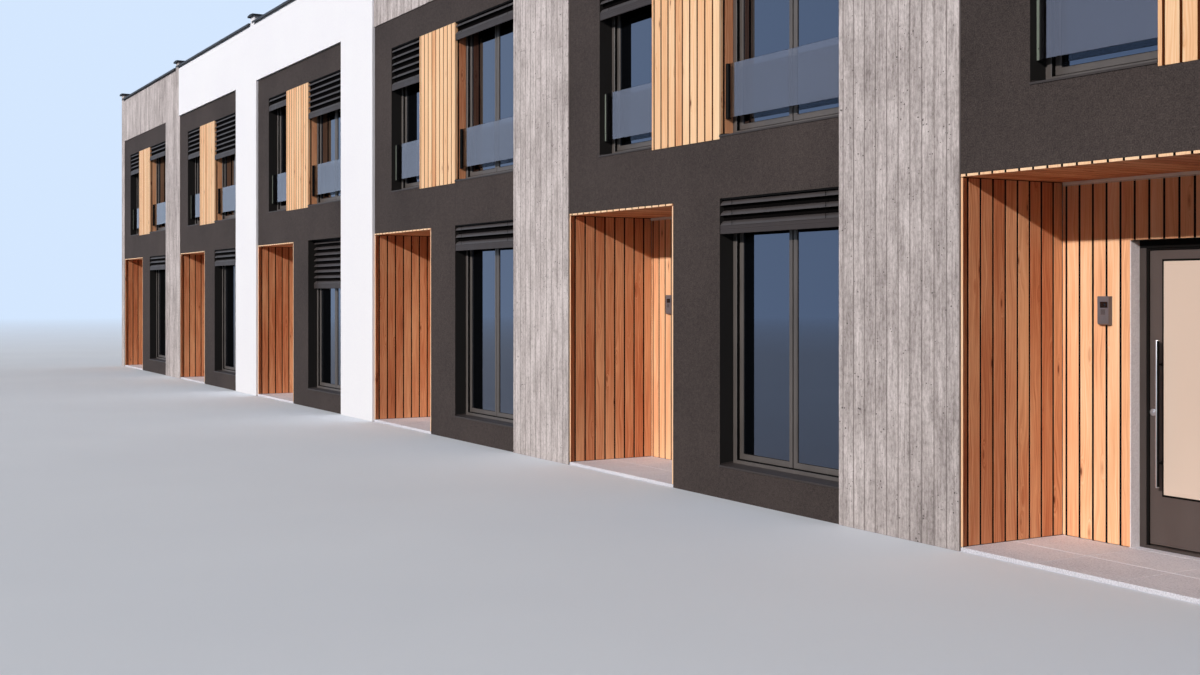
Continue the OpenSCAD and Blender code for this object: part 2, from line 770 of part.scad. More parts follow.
// Entry panel: a slim box with a hood over the camera, a lens ring and a call button
module entry_panels() color("#4a4747") for (i = houses) in_bay(i) {
    face_y = porch_d - panel_d;
    mid_x = panel_x + panel_w / 2;
    difference() {
        block([panel_x, panel_x + panel_w], [face_y, porch_d], [panel_z, panel_z + panel_h]);
        block([panel_x + panel_rim, panel_x + panel_w - panel_rim], [face_y - cut, face_y + panel_rim],
            [panel_z + panel_rim, panel_z + panel_h - panel_rim]);
    }
    translate([mid_x, face_y + panel_rim, panel_z + panel_h - lens_drop]) rotate([90, 0, 0])
        cylinder(d = lens_dia, h = panel_rim, $fn = 32);
    translate([mid_x, face_y + panel_rim, panel_z + button_rise]) rotate([90, 0, 0])
        cylinder(d = button_dia, h = panel_rim / 2, $fn = 32);
}

module porch_lights() color("#e8e2da") for (i = houses) in_bay(i) {
    block([lining_t, porch_w - lining_t], [porch_d - light_d, porch_d],
        [soffit_z - light_drop - light_h, soffit_z - light_drop]);
}

ground_floor();
party_walls();
first_floor();
roof_deck();
roof_cover();
ground_piers();
window_walls();
spandrels();
upper_piers();
lintels();
white_pillars();
concrete_pillars();
white_bands();
concrete_bands();
party_upstands();
roof_copings();
porch_back_walls();
porch_side_walls();
door_lintels();
porch_paving();
porch_linings();
slat_panels();
ground_windows();
upper_windows();
window_glass();
window_sills();
blinds();
blind_rails();
balustrades();
balustrade_channels();
door_frames();
entry_panels();
porch_lights();
door_leaf(0);  // front_door_1
door_leaf(1);  // front_door_2
door_leaf(2);  // front_door_3
door_leaf(3);  // front_door_4
door_leaf(4);  // front_door_5
door_leaf(5);  // front_door_6
pull_handle(0);  // pull_handle_1
pull_handle(1);  // pull_handle_2
pull_handle(2);  // pull_handle_3
pull_handle(3);  // pull_handle_4
pull_handle(4);  // pull_handle_5
pull_handle(5);  // pull_handle_6
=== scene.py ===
import math

import bpy
import numpy as np
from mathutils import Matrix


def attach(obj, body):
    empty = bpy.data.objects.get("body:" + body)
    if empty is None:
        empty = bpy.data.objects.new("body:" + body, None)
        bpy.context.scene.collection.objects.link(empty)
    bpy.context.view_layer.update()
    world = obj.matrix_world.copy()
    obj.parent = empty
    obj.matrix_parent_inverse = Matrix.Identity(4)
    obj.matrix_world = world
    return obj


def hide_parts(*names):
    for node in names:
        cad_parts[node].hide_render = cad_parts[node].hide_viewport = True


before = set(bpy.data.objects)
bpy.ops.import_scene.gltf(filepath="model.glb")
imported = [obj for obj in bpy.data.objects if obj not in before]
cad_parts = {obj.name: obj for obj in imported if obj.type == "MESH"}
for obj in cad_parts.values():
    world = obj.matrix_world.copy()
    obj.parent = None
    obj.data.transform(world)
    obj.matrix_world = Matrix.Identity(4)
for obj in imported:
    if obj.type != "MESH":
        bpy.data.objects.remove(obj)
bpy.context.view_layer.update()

# Sizes of the row in metres, as the part has them but for the open joints: BOARD_GAP, SLAT_GAP and
# CORNER_D are drawn a little larger, and JOINT_DEPTH is there only here. X runs along the row, the
# street front faces -Y.
HOUSES = 6
HOUSE_W = 5.850
HOUSE_D = 10.600
PARTY_T = 0.240
BAY_INSET = 0.105
WALL_T = 0.360
BAY_W = 4.510
CONCRETE_PROUD = 0.015
WHITE_PROUD = 0.040
SILL_GROUND = 0.290
HEAD_GROUND = 2.710
SILL_UPPER = 3.275
HEAD_UPPER = 5.285
BAND_Z = 5.685
PARAPET_Z = 6.755
UPSTAND_Z = 6.895
PORCH_W = 2.055
PORCH_D = 1.040
PAVING_Z = 0.030
PORCH_WALL_T = 0.240
LINING_T = 0.020
BOARD_PITCH = 0.124
BOARD_GAP = 0.0185
JOINT_DEPTH = 0.0020
DOOR_X = 0.623
DOOR_W = 1.120
DOOR_Z = 2.234
NARROW_X = 0.650
NARROW_W = 1.030
WIDE_X = 2.830
WIDE_W = BAY_W - WIDE_X
SLATS_X = NARROW_X + NARROW_W
SLAT_PROUD = 0.005
SLAT_T = 0.022
SLAT_PITCH = 0.125
SLAT_GAP = 0.022
SLAT_LAST_W = 0.098
SLAT_LOW_Z = SILL_UPPER - 0.027
RECESS_D = 0.046
RETURN_T = 0.020
CORNER_D = 0.0365
RETURN_D = 0.148
FRAME_Y = 0.150
ROW_X = -(HOUSES * HOUSE_W + PARTY_T) / 2
FRONT_Y = -HOUSE_D / 2
PARTY_X = HOUSE_W - BAY_INSET - PARTY_T
PARTY_END_X = HOUSE_W - BAY_INSET
BAY_X = ROW_X + PARTY_T + BAY_INSET + HOUSE_W * np.arange(HOUSES)
WHITE = ((np.arange(HOUSES) + 1) // 2) % 2 == 1

rng = np.random.default_rng(7)


# Shapes. A shape holds its points, the point numbers of its faces in one row, the number of points
# of each face, a tone for each point and the point's place in its board.

def shape(points, corners, sizes, tone=None, grain=None):
    """A shape from whole arrays; a missing tone is 0.5 and a missing grain place is the point itself."""
    points = np.asarray(points, float).reshape(-1, 3)
    n = len(points)
    return {
        "points": points,
        "corners": np.asarray(corners, int).ravel(),
        "sizes": np.asarray(sizes, int).ravel(),
        "tone": np.full(n, 0.5) if tone is None else np.asarray(tone, float).ravel(),
        "grain": points.copy() if grain is None else np.asarray(grain, float).reshape(-1, 3),
    }


def joined(parts):
    """One shape out of several: each part's point numbers grow by the points before it."""
    starts = np.cumsum([0] + [len(p["points"]) for p in parts[:-1]])
    return {
        "points": np.concatenate([p["points"] for p in parts]),
        "corners": np.concatenate([p["corners"] + s for p, s in zip(parts, starts)]),
        "sizes": np.concatenate([p["sizes"] for p in parts]),
        "tone": np.concatenate([p["tone"] for p in parts]),
        "grain": np.concatenate([p["grain"] for p in parts]),
    }


def repeated(part, offsets, spread=0.0):
    """The shape once at each offset: point = offset + point, with the grain moved on by the copy's number.
    A spread shifts the tone of each board of 32 points by a random amount up to it."""
    offsets = np.asarray(offsets, float).reshape(-1, 3)
    n, m = len(offsets), len(part["points"])
    points = (offsets[:, None, :] + part["points"][None]).reshape(-1, 3)
    corners = (part["corners"][None] + (np.arange(n) * m)[:, None]).ravel()
    tone = np.tile(part["tone"], n)
    if spread:
        tone = tone + np.repeat(rng.uniform(-spread, spread, n * m // 32), 32)
    grain = (part["grain"][None] + (np.arange(n) * 3.7)[:, None, None]).reshape(-1, 3)
    return shape(points, corners, np.tile(part["sizes"], n), tone, grain)


def mirrored(part):
    """The shape on the other side of the row's middle plane: y changes sign, each face turns round."""
    points = part["points"] * np.array([1.0, -1.0, 1.0])
    grain = part["grain"] + np.array([0.0, 0.0, 11.3])
    return shape(points, part["corners"][::-1], part["sizes"][::-1], part["tone"], grain)


def front_and_rear(part):
    """The shape at the street front and its mirror image at the rear."""
    return joined([part, mirrored(part)])


def blocks(low, high, edge, along=2):
    """Boards: an eight-cornered section, a rectangle less its corners, carried along one axis through
    four loops, of which the first and last are drawn in by the edge.
    Point = middle + sign * (half - inset)."""
    low = np.asarray(low, float).reshape(-1, 3)
    high = np.asarray(high, float).reshape(-1, 3)
    n = len(low)
    a, b = (along + 1) % 3, (along + 2) % 3
    sa = np.array([1, 1, 1, -1, -1, -1, -1, 1], float)
    sb = np.array([-1, 1, 1, 1, 1, -1, -1, -1], float)
    ia = np.array([0, 0, 1, 1, 0, 0, 1, 1], float)
    ib = np.array([1, 1, 0, 0, 1, 1, 0, 0], float)
    sign = np.zeros((4, 8, 3))
    inset = np.zeros((4, 8, 3))
    sign[:, :, a], sign[:, :, b] = sa, sb
    sign[:, :, along] = np.array([-1, -1, 1, 1])[:, None]
    drawn_in = np.array([1, 0, 0, 1])[:, None]
    inset[:, :, a] = ia + drawn_in
    inset[:, :, b] = ib + drawn_in
    inset[:, :, along] = np.array([0, 1, 1, 0])[:, None]
    sign, inset = sign.reshape(1, 32, 3), inset.reshape(1, 32, 3)
    middle, half = (low + high) / 2, (high - low) / 2
    points = middle[:, None] + sign * (half[:, None] - inset * edge)
    i = np.arange(8)
    j = (i + 1) % 8
    quads = np.concatenate([
        np.stack([i + 8 * k, j + 8 * k, j + 8 * k + 8, i + 8 * k + 8], 1) for k in range(3)])
    corners = np.concatenate([quads.ravel(), i[::-1], i + 24])
    sizes = np.array([4] * 24 + [8, 8])
    shift = rng.random((n, 1, 3)) * 40.0
    local = points - middle[:, None]
    grain = np.stack([local[..., a], local[..., b], local[..., along]], -1) + shift
    tone = np.repeat(rng.random(n), 32)
    all_corners = (corners[None] + (np.arange(n) * 32)[:, None]).ravel()
    return shape(points, all_corners, np.tile(sizes, n), tone, grain)


def carried(section, starts, length, along, tone=None):
    """A closed section carried straight along an axis by a length from each start, with both ends closed.
    The section's two columns are the next two axes in turn, and its points are relative to start."""
    section = np.asarray(section, float)
    x, y = section[:, 0], section[:, 1]
    if np.sum(x * np.roll(y, -1) - np.roll(x, -1) * y) < 0:
        section = section[::-1]
    starts = np.asarray(starts, float).reshape(-1, 3)
    lengths = np.broadcast_to(np.asarray(length, float), (len(starts),))
    n, m = len(starts), len(section)
    a, b = (along + 1) % 3, (along + 2) % 3
    points = np.repeat(starts[:, None], 2 * m, 1)
    points[:, :, a] += np.tile(section[:, 0], 2)
    points[:, :, b] += np.tile(section[:, 1], 2)
    points[:, m:, along] += lengths[:, None]
    i = np.arange(m)
    j = (i + 1) % m
    corners = np.concatenate([np.stack([i, j, j + m, i + m], 1).ravel(), i[::-1], i + m])
    sizes = np.array([4] * m + [m, m])
    all_corners = (corners[None] + (np.arange(n) * 2 * m)[:, None]).ravel()
    tones = None if tone is None else np.tile(np.tile(tone, 2), n)
    return shape(points, all_corners, np.tile(sizes, n), tones)


def ringed(section, width, height):
    """A closed section carried round a rectangle with mitred corners. The section's columns are the distance
    inwards from the outline and the depth behind the face; the rectangle starts at x = 0, z = 0."""
    section = np.asarray(section, float)
    u, v = section[:, 0], section[:, 1]
    if np.sum(v * np.roll(u, -1) - np.roll(v, -1) * u) < 0:
        section = section[::-1]
    u, v = section[:, 0], section[:, 1]
    m = len(u)
    x = np.stack([u, width - u, width - u, u])
    z = np.stack([u, u, height - u, height - u])
    points = np.stack([x, np.broadcast_to(v, (4, m)), z], -1).reshape(-1, 3)
    i = np.arange(m)
    j = (i + 1) % m
    k = np.arange(4)[:, None] * m
    k_next = ((np.arange(4) + 1) % 4)[:, None] * m
    quads = np.stack([k + i, k + j, k_next + j, k_next + i], -1)
    return shape(points, quads.ravel(), np.full(4 * m, 4))


def turned(radii, heights, segments, along=2):
    """A solid of revolution: radius against height, carried round an axis, with its two ends closed."""
    r, h = np.asarray(radii, float), np.asarray(heights, float)
    m = len(r)
    angle = np.arange(segments) * 2 * np.pi / segments
    a, b = (along + 1) % 3, (along + 2) % 3
    points = np.zeros((m, segments, 3))
    points[:, :, a] = r[:, None] * np.cos(angle)
    points[:, :, b] = r[:, None] * np.sin(angle)
    points[:, :, along] = h[:, None]
    i = np.arange(segments)
    j = (i + 1) % segments
    rows = np.arange(m - 1)[:, None] * segments
    quads = np.stack([rows + i, rows + j, rows + j + segments, rows + i + segments], -1)
    corners = np.concatenate([quads.ravel(), i[::-1], i + (m - 1) * segments])
    sizes = np.array([4] * ((m - 1) * segments) + [segments, segments])
    return shape(points.reshape(-1, 3), corners, sizes)


def cells(xs, ys, zs, solid):
    """The skin of a body of box cells between the cut planes: a face lies wherever a solid cell meets
    an empty one."""
    xs, ys, zs = (np.asarray(v, float) for v in (xs, ys, zs))
    full = np.pad(np.asarray(solid, bool), 1)
    cuts = (xs, ys, zs)
    counts = tuple(len(c) for c in cuts)
    point_number = np.arange(np.prod(counts)).reshape(counts)
    corners = []
    for axis in range(3):
        inner = [slice(1, -1)] * 3
        before, after = list(inner), list(inner)
        before[axis], after[axis] = slice(0, -1), slice(1, None)
        step = full[tuple(after)].astype(int) - full[tuple(before)].astype(int)
        a, b = (axis + 1) % 3, (axis + 2) % 3
        place = np.argwhere(step != 0)
        opens = step[tuple(place.T)] > 0
        ring = np.zeros((len(place), 4, 3), int)
        ring[:] = place[:, None]
        ring[:, 1, a] += 1
        ring[:, 2, a] += 1
        ring[:, 2, b] += 1
        ring[:, 3, b] += 1
        ring[opens] = ring[opens][:, ::-1]
        corners.append(point_number[ring[..., 0], ring[..., 1], ring[..., 2]])
    corners = np.concatenate(corners)
    used, renumbered = np.unique(corners, return_inverse=True)
    i, j, k = np.unravel_index(used, counts)
    points = np.stack([xs[i], ys[j], zs[k]], -1)
    return shape(points, renumbered.reshape(-1), np.full(len(corners), 4))


def piece(name, part, material, nodes=(), body="row", smooth=None, bevel=None):
    """Puts a shape into a mesh with its tone and grain, and lets it ride on a body in place of CAD nodes."""
    mesh = bpy.data.meshes.new(name)
    corners, sizes = part["corners"], part["sizes"]
    mesh.vertices.add(len(part["points"]))
    mesh.vertices.foreach_set("co", part["points"].astype(np.float32).ravel())
    mesh.loops.add(len(corners))
    mesh.loops.foreach_set("vertex_index", corners.astype(np.int32))
    mesh.polygons.add(len(sizes))
    mesh.polygons.foreach_set("loop_start", (np.cumsum(sizes) - sizes).astype(np.int32))
    mesh.update(calc_edges=True)
    mesh.validate()
    mesh.attributes.new("tone", "FLOAT", "POINT").data.foreach_set("value", part["tone"].astype(np.float32))
    mesh.attributes.new("grain", "FLOAT_VECTOR", "POINT").data.foreach_set(
        "vector", part["grain"].astype(np.float32).ravel())
    mesh.polygons.foreach_set("use_smooth", np.full(len(sizes), smooth is not None))
    if smooth is not None:
        mesh.set_sharp_from_angle(angle=math.radians(smooth))
    mesh.materials.append(material)
    made = bpy.data.objects.new(name, mesh)
    bpy.context.scene.collection.objects.link(made)
    if bevel:
        rounding = made.modifiers.new("rounded edges", "BEVEL")
        rounding.width = bevel
        rounding.segments = 2
        rounding.limit_method = "ANGLE"
        rounding.angle_limit = math.radians(40)
    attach(made, body)
    if nodes:
        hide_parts(*nodes)
    return made


# Materials. Each is a small node tree; colours are written as the eye sees them and made linear here.

def seen(red, green, blue):
    """A colour from its seen values of 0 to 255: divided by 12.92 up to 0.04045, above it a power of 2.4."""
    c = np.array([red, green, blue]) / 255.0
    linear = np.where(c <= 0.04045, c / 12.92, ((c + 0.055) / 1.055) ** 2.4)
    return (*map(float, linear), 1.0)


class Finish:
    """A material under construction: short calls that add a node and return its output."""

    def __init__(self, name, roughness=0.5, metallic=0.0, **constants):
        self.material = bpy.data.materials.new(name)
        self.material.use_nodes = True
        self.tree = self.material.node_tree
        self.shader = self.tree.nodes["Principled BSDF"]
        self.shader.inputs["Roughness"].default_value = roughness
        self.shader.inputs["Metallic"].default_value = metallic
        for key, value in constants.items():
            self.shader.inputs[key.replace("_", " ")].default_value = value

    def node(self, kind, **values):
        made = self.tree.nodes.new(kind)
        for key, value in values.items():
            setattr(made, key, value)
        return made

    def put(self, socket, value):
        if isinstance(value, bpy.types.NodeSocket):
            self.tree.links.new(value, socket)
        else:
            socket.default_value = value

    def place(self):
        return self.node("ShaderNodeTexCoord").outputs["Object"]

    def attribute(self, name, vector=False):
        made = self.node("ShaderNodeAttribute", attribute_name=name)
        return made.outputs["Vector" if vector else "Fac"]

    def stretch(self, vector, scale, shift=(0, 0, 0)):
        made = self.node("ShaderNodeMapping")
        self.put(made.inputs["Vector"], vector)
        made.inputs["Scale"].default_value = scale
        made.inputs["Location"].default_value = shift
        return made.outputs["Vector"]

    def noise(self, vector, scale, detail=3.0, rough=0.5, distortion=0.0):
        made = self.node("ShaderNodeTexNoise")
        self.put(made.inputs["Vector"], vector)
        made.inputs["Scale"].default_value = scale
        made.inputs["Detail"].default_value = detail
        made.inputs["Roughness"].default_value = rough
        made.inputs["Distortion"].default_value = distortion
        return made.outputs["Fac"]

    def spots(self, vector, scale, feature="F1"):
        made = self.node("ShaderNodeTexVoronoi", feature=feature)
        self.put(made.inputs["Vector"], vector)
        made.inputs["Scale"].default_value = scale
        return made.outputs["Distance"]

    def sums(self, kind, a, b=0.0, c=0.0, clamp=False):
        made = self.node("ShaderNodeMath", operation=kind, use_clamp=clamp)
        for socket, value in zip(made.inputs, (a, b, c)):
            self.put(socket, value)
        return made.outputs[0]

    def parts(self, vector):
        made = self.node("ShaderNodeSeparateXYZ")
        self.put(made.inputs[0], vector)
        return made.outputs

    def together(self, x=0.0, y=0.0, z=0.0):
        made = self.node("ShaderNodeCombineXYZ")
        for socket, value in zip(made.inputs, (x, y, z)):
            self.put(socket, value)
        return made.outputs[0]

    def span(self, value, low, high, to_low=0.0, to_high=1.0):
        made = self.node("ShaderNodeMapRange")
        for socket, v in zip(made.inputs, (value, low, high, to_low, to_high)):
            self.put(socket, v)
        return made.outputs[0]

    def ramp(self, value, stops):
        made = self.node("ShaderNodeValToRGB")
        self.put(made.inputs[0], value)
        marks = made.color_ramp.elements
        while len(marks) < len(stops):
            marks.new(0.5)
        for mark, (at, colour) in zip(marks, stops):
            mark.position, mark.color = at, colour
        return made.outputs[0]

    def blend(self, share, a, b, kind="MIX"):
        made = self.node("ShaderNodeMix", data_type="RGBA", blend_type=kind, clamp_factor=True)
        self.put(made.inputs[0], share)
        self.put(made.inputs[6], a)
        self.put(made.inputs[7], b)
        return made.outputs[2]

    def relief(self, height, distance, strength=1.0, under=None):
        made = self.node("ShaderNodeBump")
        self.put(made.inputs["Height"], height)
        made.inputs["Distance"].default_value = distance
        made.inputs["Strength"].default_value = strength
        if under is not None:
            self.put(made.inputs["Normal"], under)
        return made.outputs["Normal"]

    def done(self, colour=None, roughness=None, normal=None, **others):
        for key, value in (("Base Color", colour), ("Roughness", roughness), ("Normal", normal)):
            if value is not None:
                self.put(self.shader.inputs[key], value)
        for key, value in others.items():
            self.put(self.shader.inputs[key.replace("_", " ")], value)
        return self.material


def render_finish(name, pale, dark, grit, grit_height, streaks):
    """Trowelled render: cloudy tone, rain streaks that run down, and grit as relief."""
    f = Finish(name, roughness=0.9, Specular_IOR_Level=0.25)
    at = f.place()
    cloud = f.noise(at, 0.7, 4.0, 0.6)
    fine = f.noise(at, 26.0, 3.0, 0.6)
    grains = f.noise(at, grit, 2.0, 0.65)
    runs = f.noise(f.stretch(at, (5.0, 5.0, 0.35)), 1.0, 4.0, 0.65)
    share = f.sums("MULTIPLY_ADD", cloud, 0.25, f.sums("MULTIPLY", fine, 0.25))
    share = f.sums("MULTIPLY_ADD", grains, 0.55, share)
    colour = f.ramp(share, [(0.34, dark), (0.70, pale)])
    stain = f.span(runs, 0.56, 0.80, 0.0, streaks)
    colour = f.blend(stain, colour, dark)
    shallow = f.relief(cloud, 0.004, 0.6)
    normal = f.relief(grains, grit_height, 1.0, shallow)
    return f.done(colour, f.span(grains, 0.3, 0.7, 0.95, 0.8), normal)


def board_concrete_finish():
    """Board-marked concrete: a tone for each board, the boards' grain pressed in, blowholes and stains."""
    f = Finish("board marked concrete", roughness=0.85, Specular_IOR_Level=0.3)
    at = f.place()
    across = f.parts(at)
    u = f.sums("ADD", across[0], across[1])
    flat = f.together(u, 0.0, across[2])
    tone = f.attribute("tone")
    cloud = f.noise(at, 0.9, 5.0, 0.62)
    grain = f.noise(f.stretch(flat, (60.0, 1.0, 2.2)), 1.0, 5.0, 0.7, 0.6)
    fine = f.noise(at, 140.0, 2.0, 0.6)
    blot = f.noise(f.stretch(at, (9.0, 9.0, 2.4)), 1.0, 5.0, 0.7)
    fleck = f.noise(f.stretch(flat, (44.0, 1.0, 22.0)), 1.0, 4.0, 0.75)
    share = f.sums("MULTIPLY_ADD", tone, 0.06, f.sums("MULTIPLY", cloud, 0.16))
    share = f.sums("MULTIPLY_ADD", grain, 0.26, share)
    share = f.sums("MULTIPLY_ADD", blot, 0.26, share)
    share = f.sums("MULTIPLY_ADD", fleck, 0.34, share)
    colour = f.ramp(share, [
        (0.42, seen(128, 119, 118)), (0.52, seen(178, 169, 168)), (0.62, seen(222, 213, 213))])
    colour = f.blend(f.span(fleck, 0.585, 0.70, 0.0, 0.60), colour, seen(112, 102, 100))
    holes = f.spots(f.stretch(flat, (1.0, 1.0, 1.3)), 21.0)
    size = f.noise(at, 7.0, 2.0, 0.5)
    pit = f.sums("LESS_THAN", holes, f.span(size, 0.40, 0.70, 0.0, 0.22))
    colour = f.blend(f.sums("MULTIPLY", pit, 0.8), colour, seen(78, 71, 70))
    colour = f.blend(f.sums("LESS_THAN", tone, -0.5), colour, seen(128, 120, 119))
    rough = f.relief(f.sums("MULTIPLY_ADD", grain, 0.8, f.sums("MULTIPLY", fine, 0.35)), 0.0035, 0.9)
    normal = f.relief(f.sums("SUBTRACT", 1.0, pit), 0.002, 0.8, rough)
    return f.done(colour, None, normal)


def upstand_finish():
    """Upstands over the party walls: white or concrete grey by the tone each point carries."""
    f = Finish("upstand render", roughness=0.9, Specular_IOR_Level=0.25)
    at = f.place()
    cloud = f.noise(at, 1.4, 4.0, 0.6)
    grit = f.noise(at, 220.0, 2.0, 0.6)
    grey = f.blend(cloud, seen(168, 160, 158), seen(206, 198, 196))
    white = f.blend(cloud, seen(226, 225, 232), seen(242, 241, 247))
    return f.done(f.blend(f.attribute("tone"), grey, white), None, f.relief(grit, 0.0012, 0.8))


def timber_finish(name, stops, spread, cloudy):
    """Planed softwood: growth bands bent round knots, fibres along the board and a tone for each board.
    The grain place is across, through and along the board."""
    f = Finish(name, roughness=0.62, Specular_IOR_Level=0.22)
    place = f.attribute("grain", vector=True)
    tone = f.attribute("tone")
    bend = f.noise(f.stretch(place, (5.0, 5.0, 1.1)), 1.0, 2.0, 0.5)
    knot = f.spots(f.stretch(place, (8.0, 8.0, 1.9)), 1.0)
    eye = f.span(knot, 0.0, 0.24, 1.0, 0.0)
    parts = f.parts(place)
    across = f.sums("MULTIPLY_ADD", parts[0], 1.0, f.sums("MULTIPLY", parts[1], 1.0))
    across = f.sums("MULTIPLY_ADD", bend, 0.16, across)
    across = f.sums("MULTIPLY_ADD", eye, 0.07, across)
    drawn_out = f.together(f.sums("MULTIPLY", across, 95.0), 0.0, f.sums("MULTIPLY", parts[2], 1.1))
    bands = f.noise(drawn_out, 1.0, 3.0, 0.55)
    fibre = f.noise(f.stretch(place, (420.0, 420.0, 9.0)), 1.0, 2.0, 0.6)
    share = f.sums("MULTIPLY_ADD", bands, 0.55, f.sums("MULTIPLY", fibre, 0.16))
    share = f.sums("MULTIPLY_ADD", tone, spread, share)
    wide = f.noise(f.stretch(place, (2.0, 2.0, 0.6)), 1.0, 3.0, 0.6)
    share = f.sums("MULTIPLY_ADD", wide, cloudy, share)
    colour = f.ramp(share, stops)
    colour = f.blend(f.span(knot, 0.05, 0.17, 0.45, 0.0), colour, seen(168, 88, 50))
    colour = f.blend(f.span(knot, 0.035, 0.075, 0.85, 0.0), colour, seen(104, 46, 22))
    normal = f.relief(f.sums("MULTIPLY_ADD", bands, 0.6, f.sums("MULTIPLY", fibre, 0.4)), 0.0009, 0.8)
    return f.done(colour, f.span(bands, 0.3, 0.7, 0.7, 0.5), normal)


def coated_metal(name, colour, roughness, fleck=0.06, shine=0.45):
    """Powder-coated metal: a fine orange-peel relief, faint dust, and a slightly uneven gloss."""
    f = Finish(name, roughness=roughness, Specular_IOR_Level=shine)
    at = f.place()
    peel = f.noise(at, 420.0, 2.0, 0.5)
    dust = f.noise(f.stretch(at, (2.0, 2.0, 0.7)), 2.0, 4.0, 0.65)
    pale = tuple(min(1.0, c * (1.0 + fleck * 4) + fleck * 0.15) for c in colour[:3]) + (1.0,)
    shade = f.blend(f.span(dust, 0.35, 0.75, 0.0, 1.0), colour, pale)
    gloss = f.span(dust, 0.3, 0.7, roughness - 0.06, roughness + 0.10)
    return f.done(shade, gloss, f.relief(peel, 0.0002, 0.5))


def glass_finish(name, body, tint, clear, bending):
    """Glass: mirror-smooth, with a tint in its reflection that paints a sky's colour into it, a painted
    reflection, and a share that lets light through. Its coating's depth changes slowly over the pane."""
    f = Finish(name, roughness=0.02, IOR=bending)
    f.shader.inputs["Transmission Weight"].default_value = clear
    f.shader.inputs["Specular Tint"].default_value = tint
    at = f.place()
    cloud = f.noise(f.stretch(at, (1.0, 1.0, 1.4)), 0.9, 3.0, 0.5)
    deep = tuple(c * 0.78 for c in body[:3]) + (1.0,)
    return f.done(f.blend(cloud, deep, body))


def speckled(name, base, light, dark, scale, roughness=0.7, height=0.001):
    """Stone or screed: a speckle of light and dark grains over a cloudy ground."""
    f = Finish(name, roughness=roughness)
    at = f.place()
    cloud = f.noise(at, 1.2, 4.0, 0.6)
    grain = f.noise(at, scale, 3.0, 0.75)
    colour = f.ramp(f.sums("MULTIPLY_ADD", grain, 0.75, f.sums("MULTIPLY", cloud, 0.25)),
                    [(0.36, dark), (0.50, base), (0.66, light)])
    gloss = f.span(grain, 0.3, 0.7, roughness - 0.08, roughness + 0.1)
    return f.done(colour, gloss, f.relief(grain, height, 0.6))


def plaster_finish():
    """Party walls: painted plaster inside in a mid grey that paints the rooms' shade behind the windows, and
    the same pale render as the front on the row's two ends.
    """
    f = Finish("wall plaster", roughness=0.9, Specular_IOR_Level=0.2)
    at = f.place()
    out = f.sums("GREATER_THAN", f.sums("ABSOLUTE", f.parts(at)[0]), -ROW_X - 0.01)
    cloud = f.noise(at, 0.8, 4.0, 0.6)
    grit = f.noise(at, 190.0, 2.0, 0.6)
    inside = f.blend(cloud, seen(150, 146, 142), seen(172, 168, 164))
    outside = f.blend(f.sums("MULTIPLY_ADD", grit, 0.5, f.sums("MULTIPLY", cloud, 0.5)),
                      seen(222, 221, 228), seen(243, 242, 248))
    return f.done(f.blend(out, inside, outside), None, f.relief(grit, 0.0012, 0.8))


def brushed_finish(name, colour, along_scale=(900.0, 900.0, 6.0)):
    """Brushed steel: fine scratches along the bar, in colour, gloss and relief."""
    f = Finish(name, roughness=0.28, metallic=1.0)
    at = f.place()
    lines = f.noise(f.stretch(at, along_scale), 1.0, 2.0, 0.6)
    pale = tuple(min(1.0, c * 1.12) for c in colour[:3]) + (1.0,)
    shade = f.blend(lines, colour, pale)
    return f.done(shade, f.span(lines, 0.3, 0.7, 0.22, 0.36), f.relief(lines, 0.0001, 0.4))


white_render = render_finish("white render", seen(250, 251, 255), seen(240, 240, 249), 260.0, 0.0012, 0.20)
dark_render = render_finish("dark render", seen(83, 73, 70), seen(31, 25, 24), 90.0, 0.0100, 0.08)
grey_render = render_finish("grey render", seen(255, 251, 252), seen(226, 219, 221), 90.0, 0.0080, 0.05)
board_concrete = board_concrete_finish()
upstand_render = upstand_finish()
front_timber = timber_finish("front timber", [
    (0.20, seen(146, 82, 50)), (0.38, seen(202, 136, 92)),
    (0.56, seen(240, 187, 141)), (0.80, seen(253, 219, 179))], 0.18, 0.34)
porch_timber = timber_finish("porch timber", [
    (0.34, seen(140, 74, 44)), (0.52, seen(200, 122, 82)),
    (0.76, seen(242, 184, 138)), (1.0, seen(255, 218, 180))], 0.24, 0.42)
batten_black = coated_metal("black backing", seen(14, 12, 11), 0.9, 0.02, 0.05)
joint_brown = coated_metal("brown joint strips", seen(70, 32, 8), 0.85, 0.03, 0.03)
# Near-black for the sheets of painted shade in the window reveals
reveal_shade_black = coated_metal("reveal painted shade", seen(38, 36, 35), 0.85, 0.01, 0.05)
# Black of the blinds' tapes and of the painted shade behind the slats
tape_and_shade_black = coated_metal("black tapes and painted shade", seen(10, 8, 8), 0.9, 0.01, 0.02)
window_metal = coated_metal("window metal", seen(80, 74, 71), 0.40)
sill_metal = coated_metal("sill metal", seen(54, 47, 45), 0.50, 0.03, 0.3)
blind_metal = coated_metal("blind metal", seen(60, 54, 53), 0.50, 0.04, 0.28)
bar_metal = coated_metal("blind bar metal", seen(53, 46, 45), 0.50, 0.03, 0.22)
rail_metal = coated_metal("rail metal", seen(20, 20, 20), 0.55, 0.02, 0.1)
channel_metal = coated_metal("channel metal", seen(116, 124, 114), 0.45, 0.02, 0.3)
guide_metal = coated_metal("head rail metal", seen(14, 13, 13), 0.60, 0.01, 0.05)
coping_metal = coated_metal("coping metal", seen(30, 31, 36), 0.50, 0.04, 0.25)
door_frame_metal = coated_metal("door frame metal", seen(60, 52, 49), 0.45, 0.03, 0.35)
door_metal = coated_metal("door metal", seen(77, 66, 62), 0.45, 0.03, 0.4)
door_inlay = coated_metal("door inlay", seen(209, 189, 173), 0.50, 0.004)
panel_metal = coated_metal("panel metal", seen(98, 93, 97), 0.40)
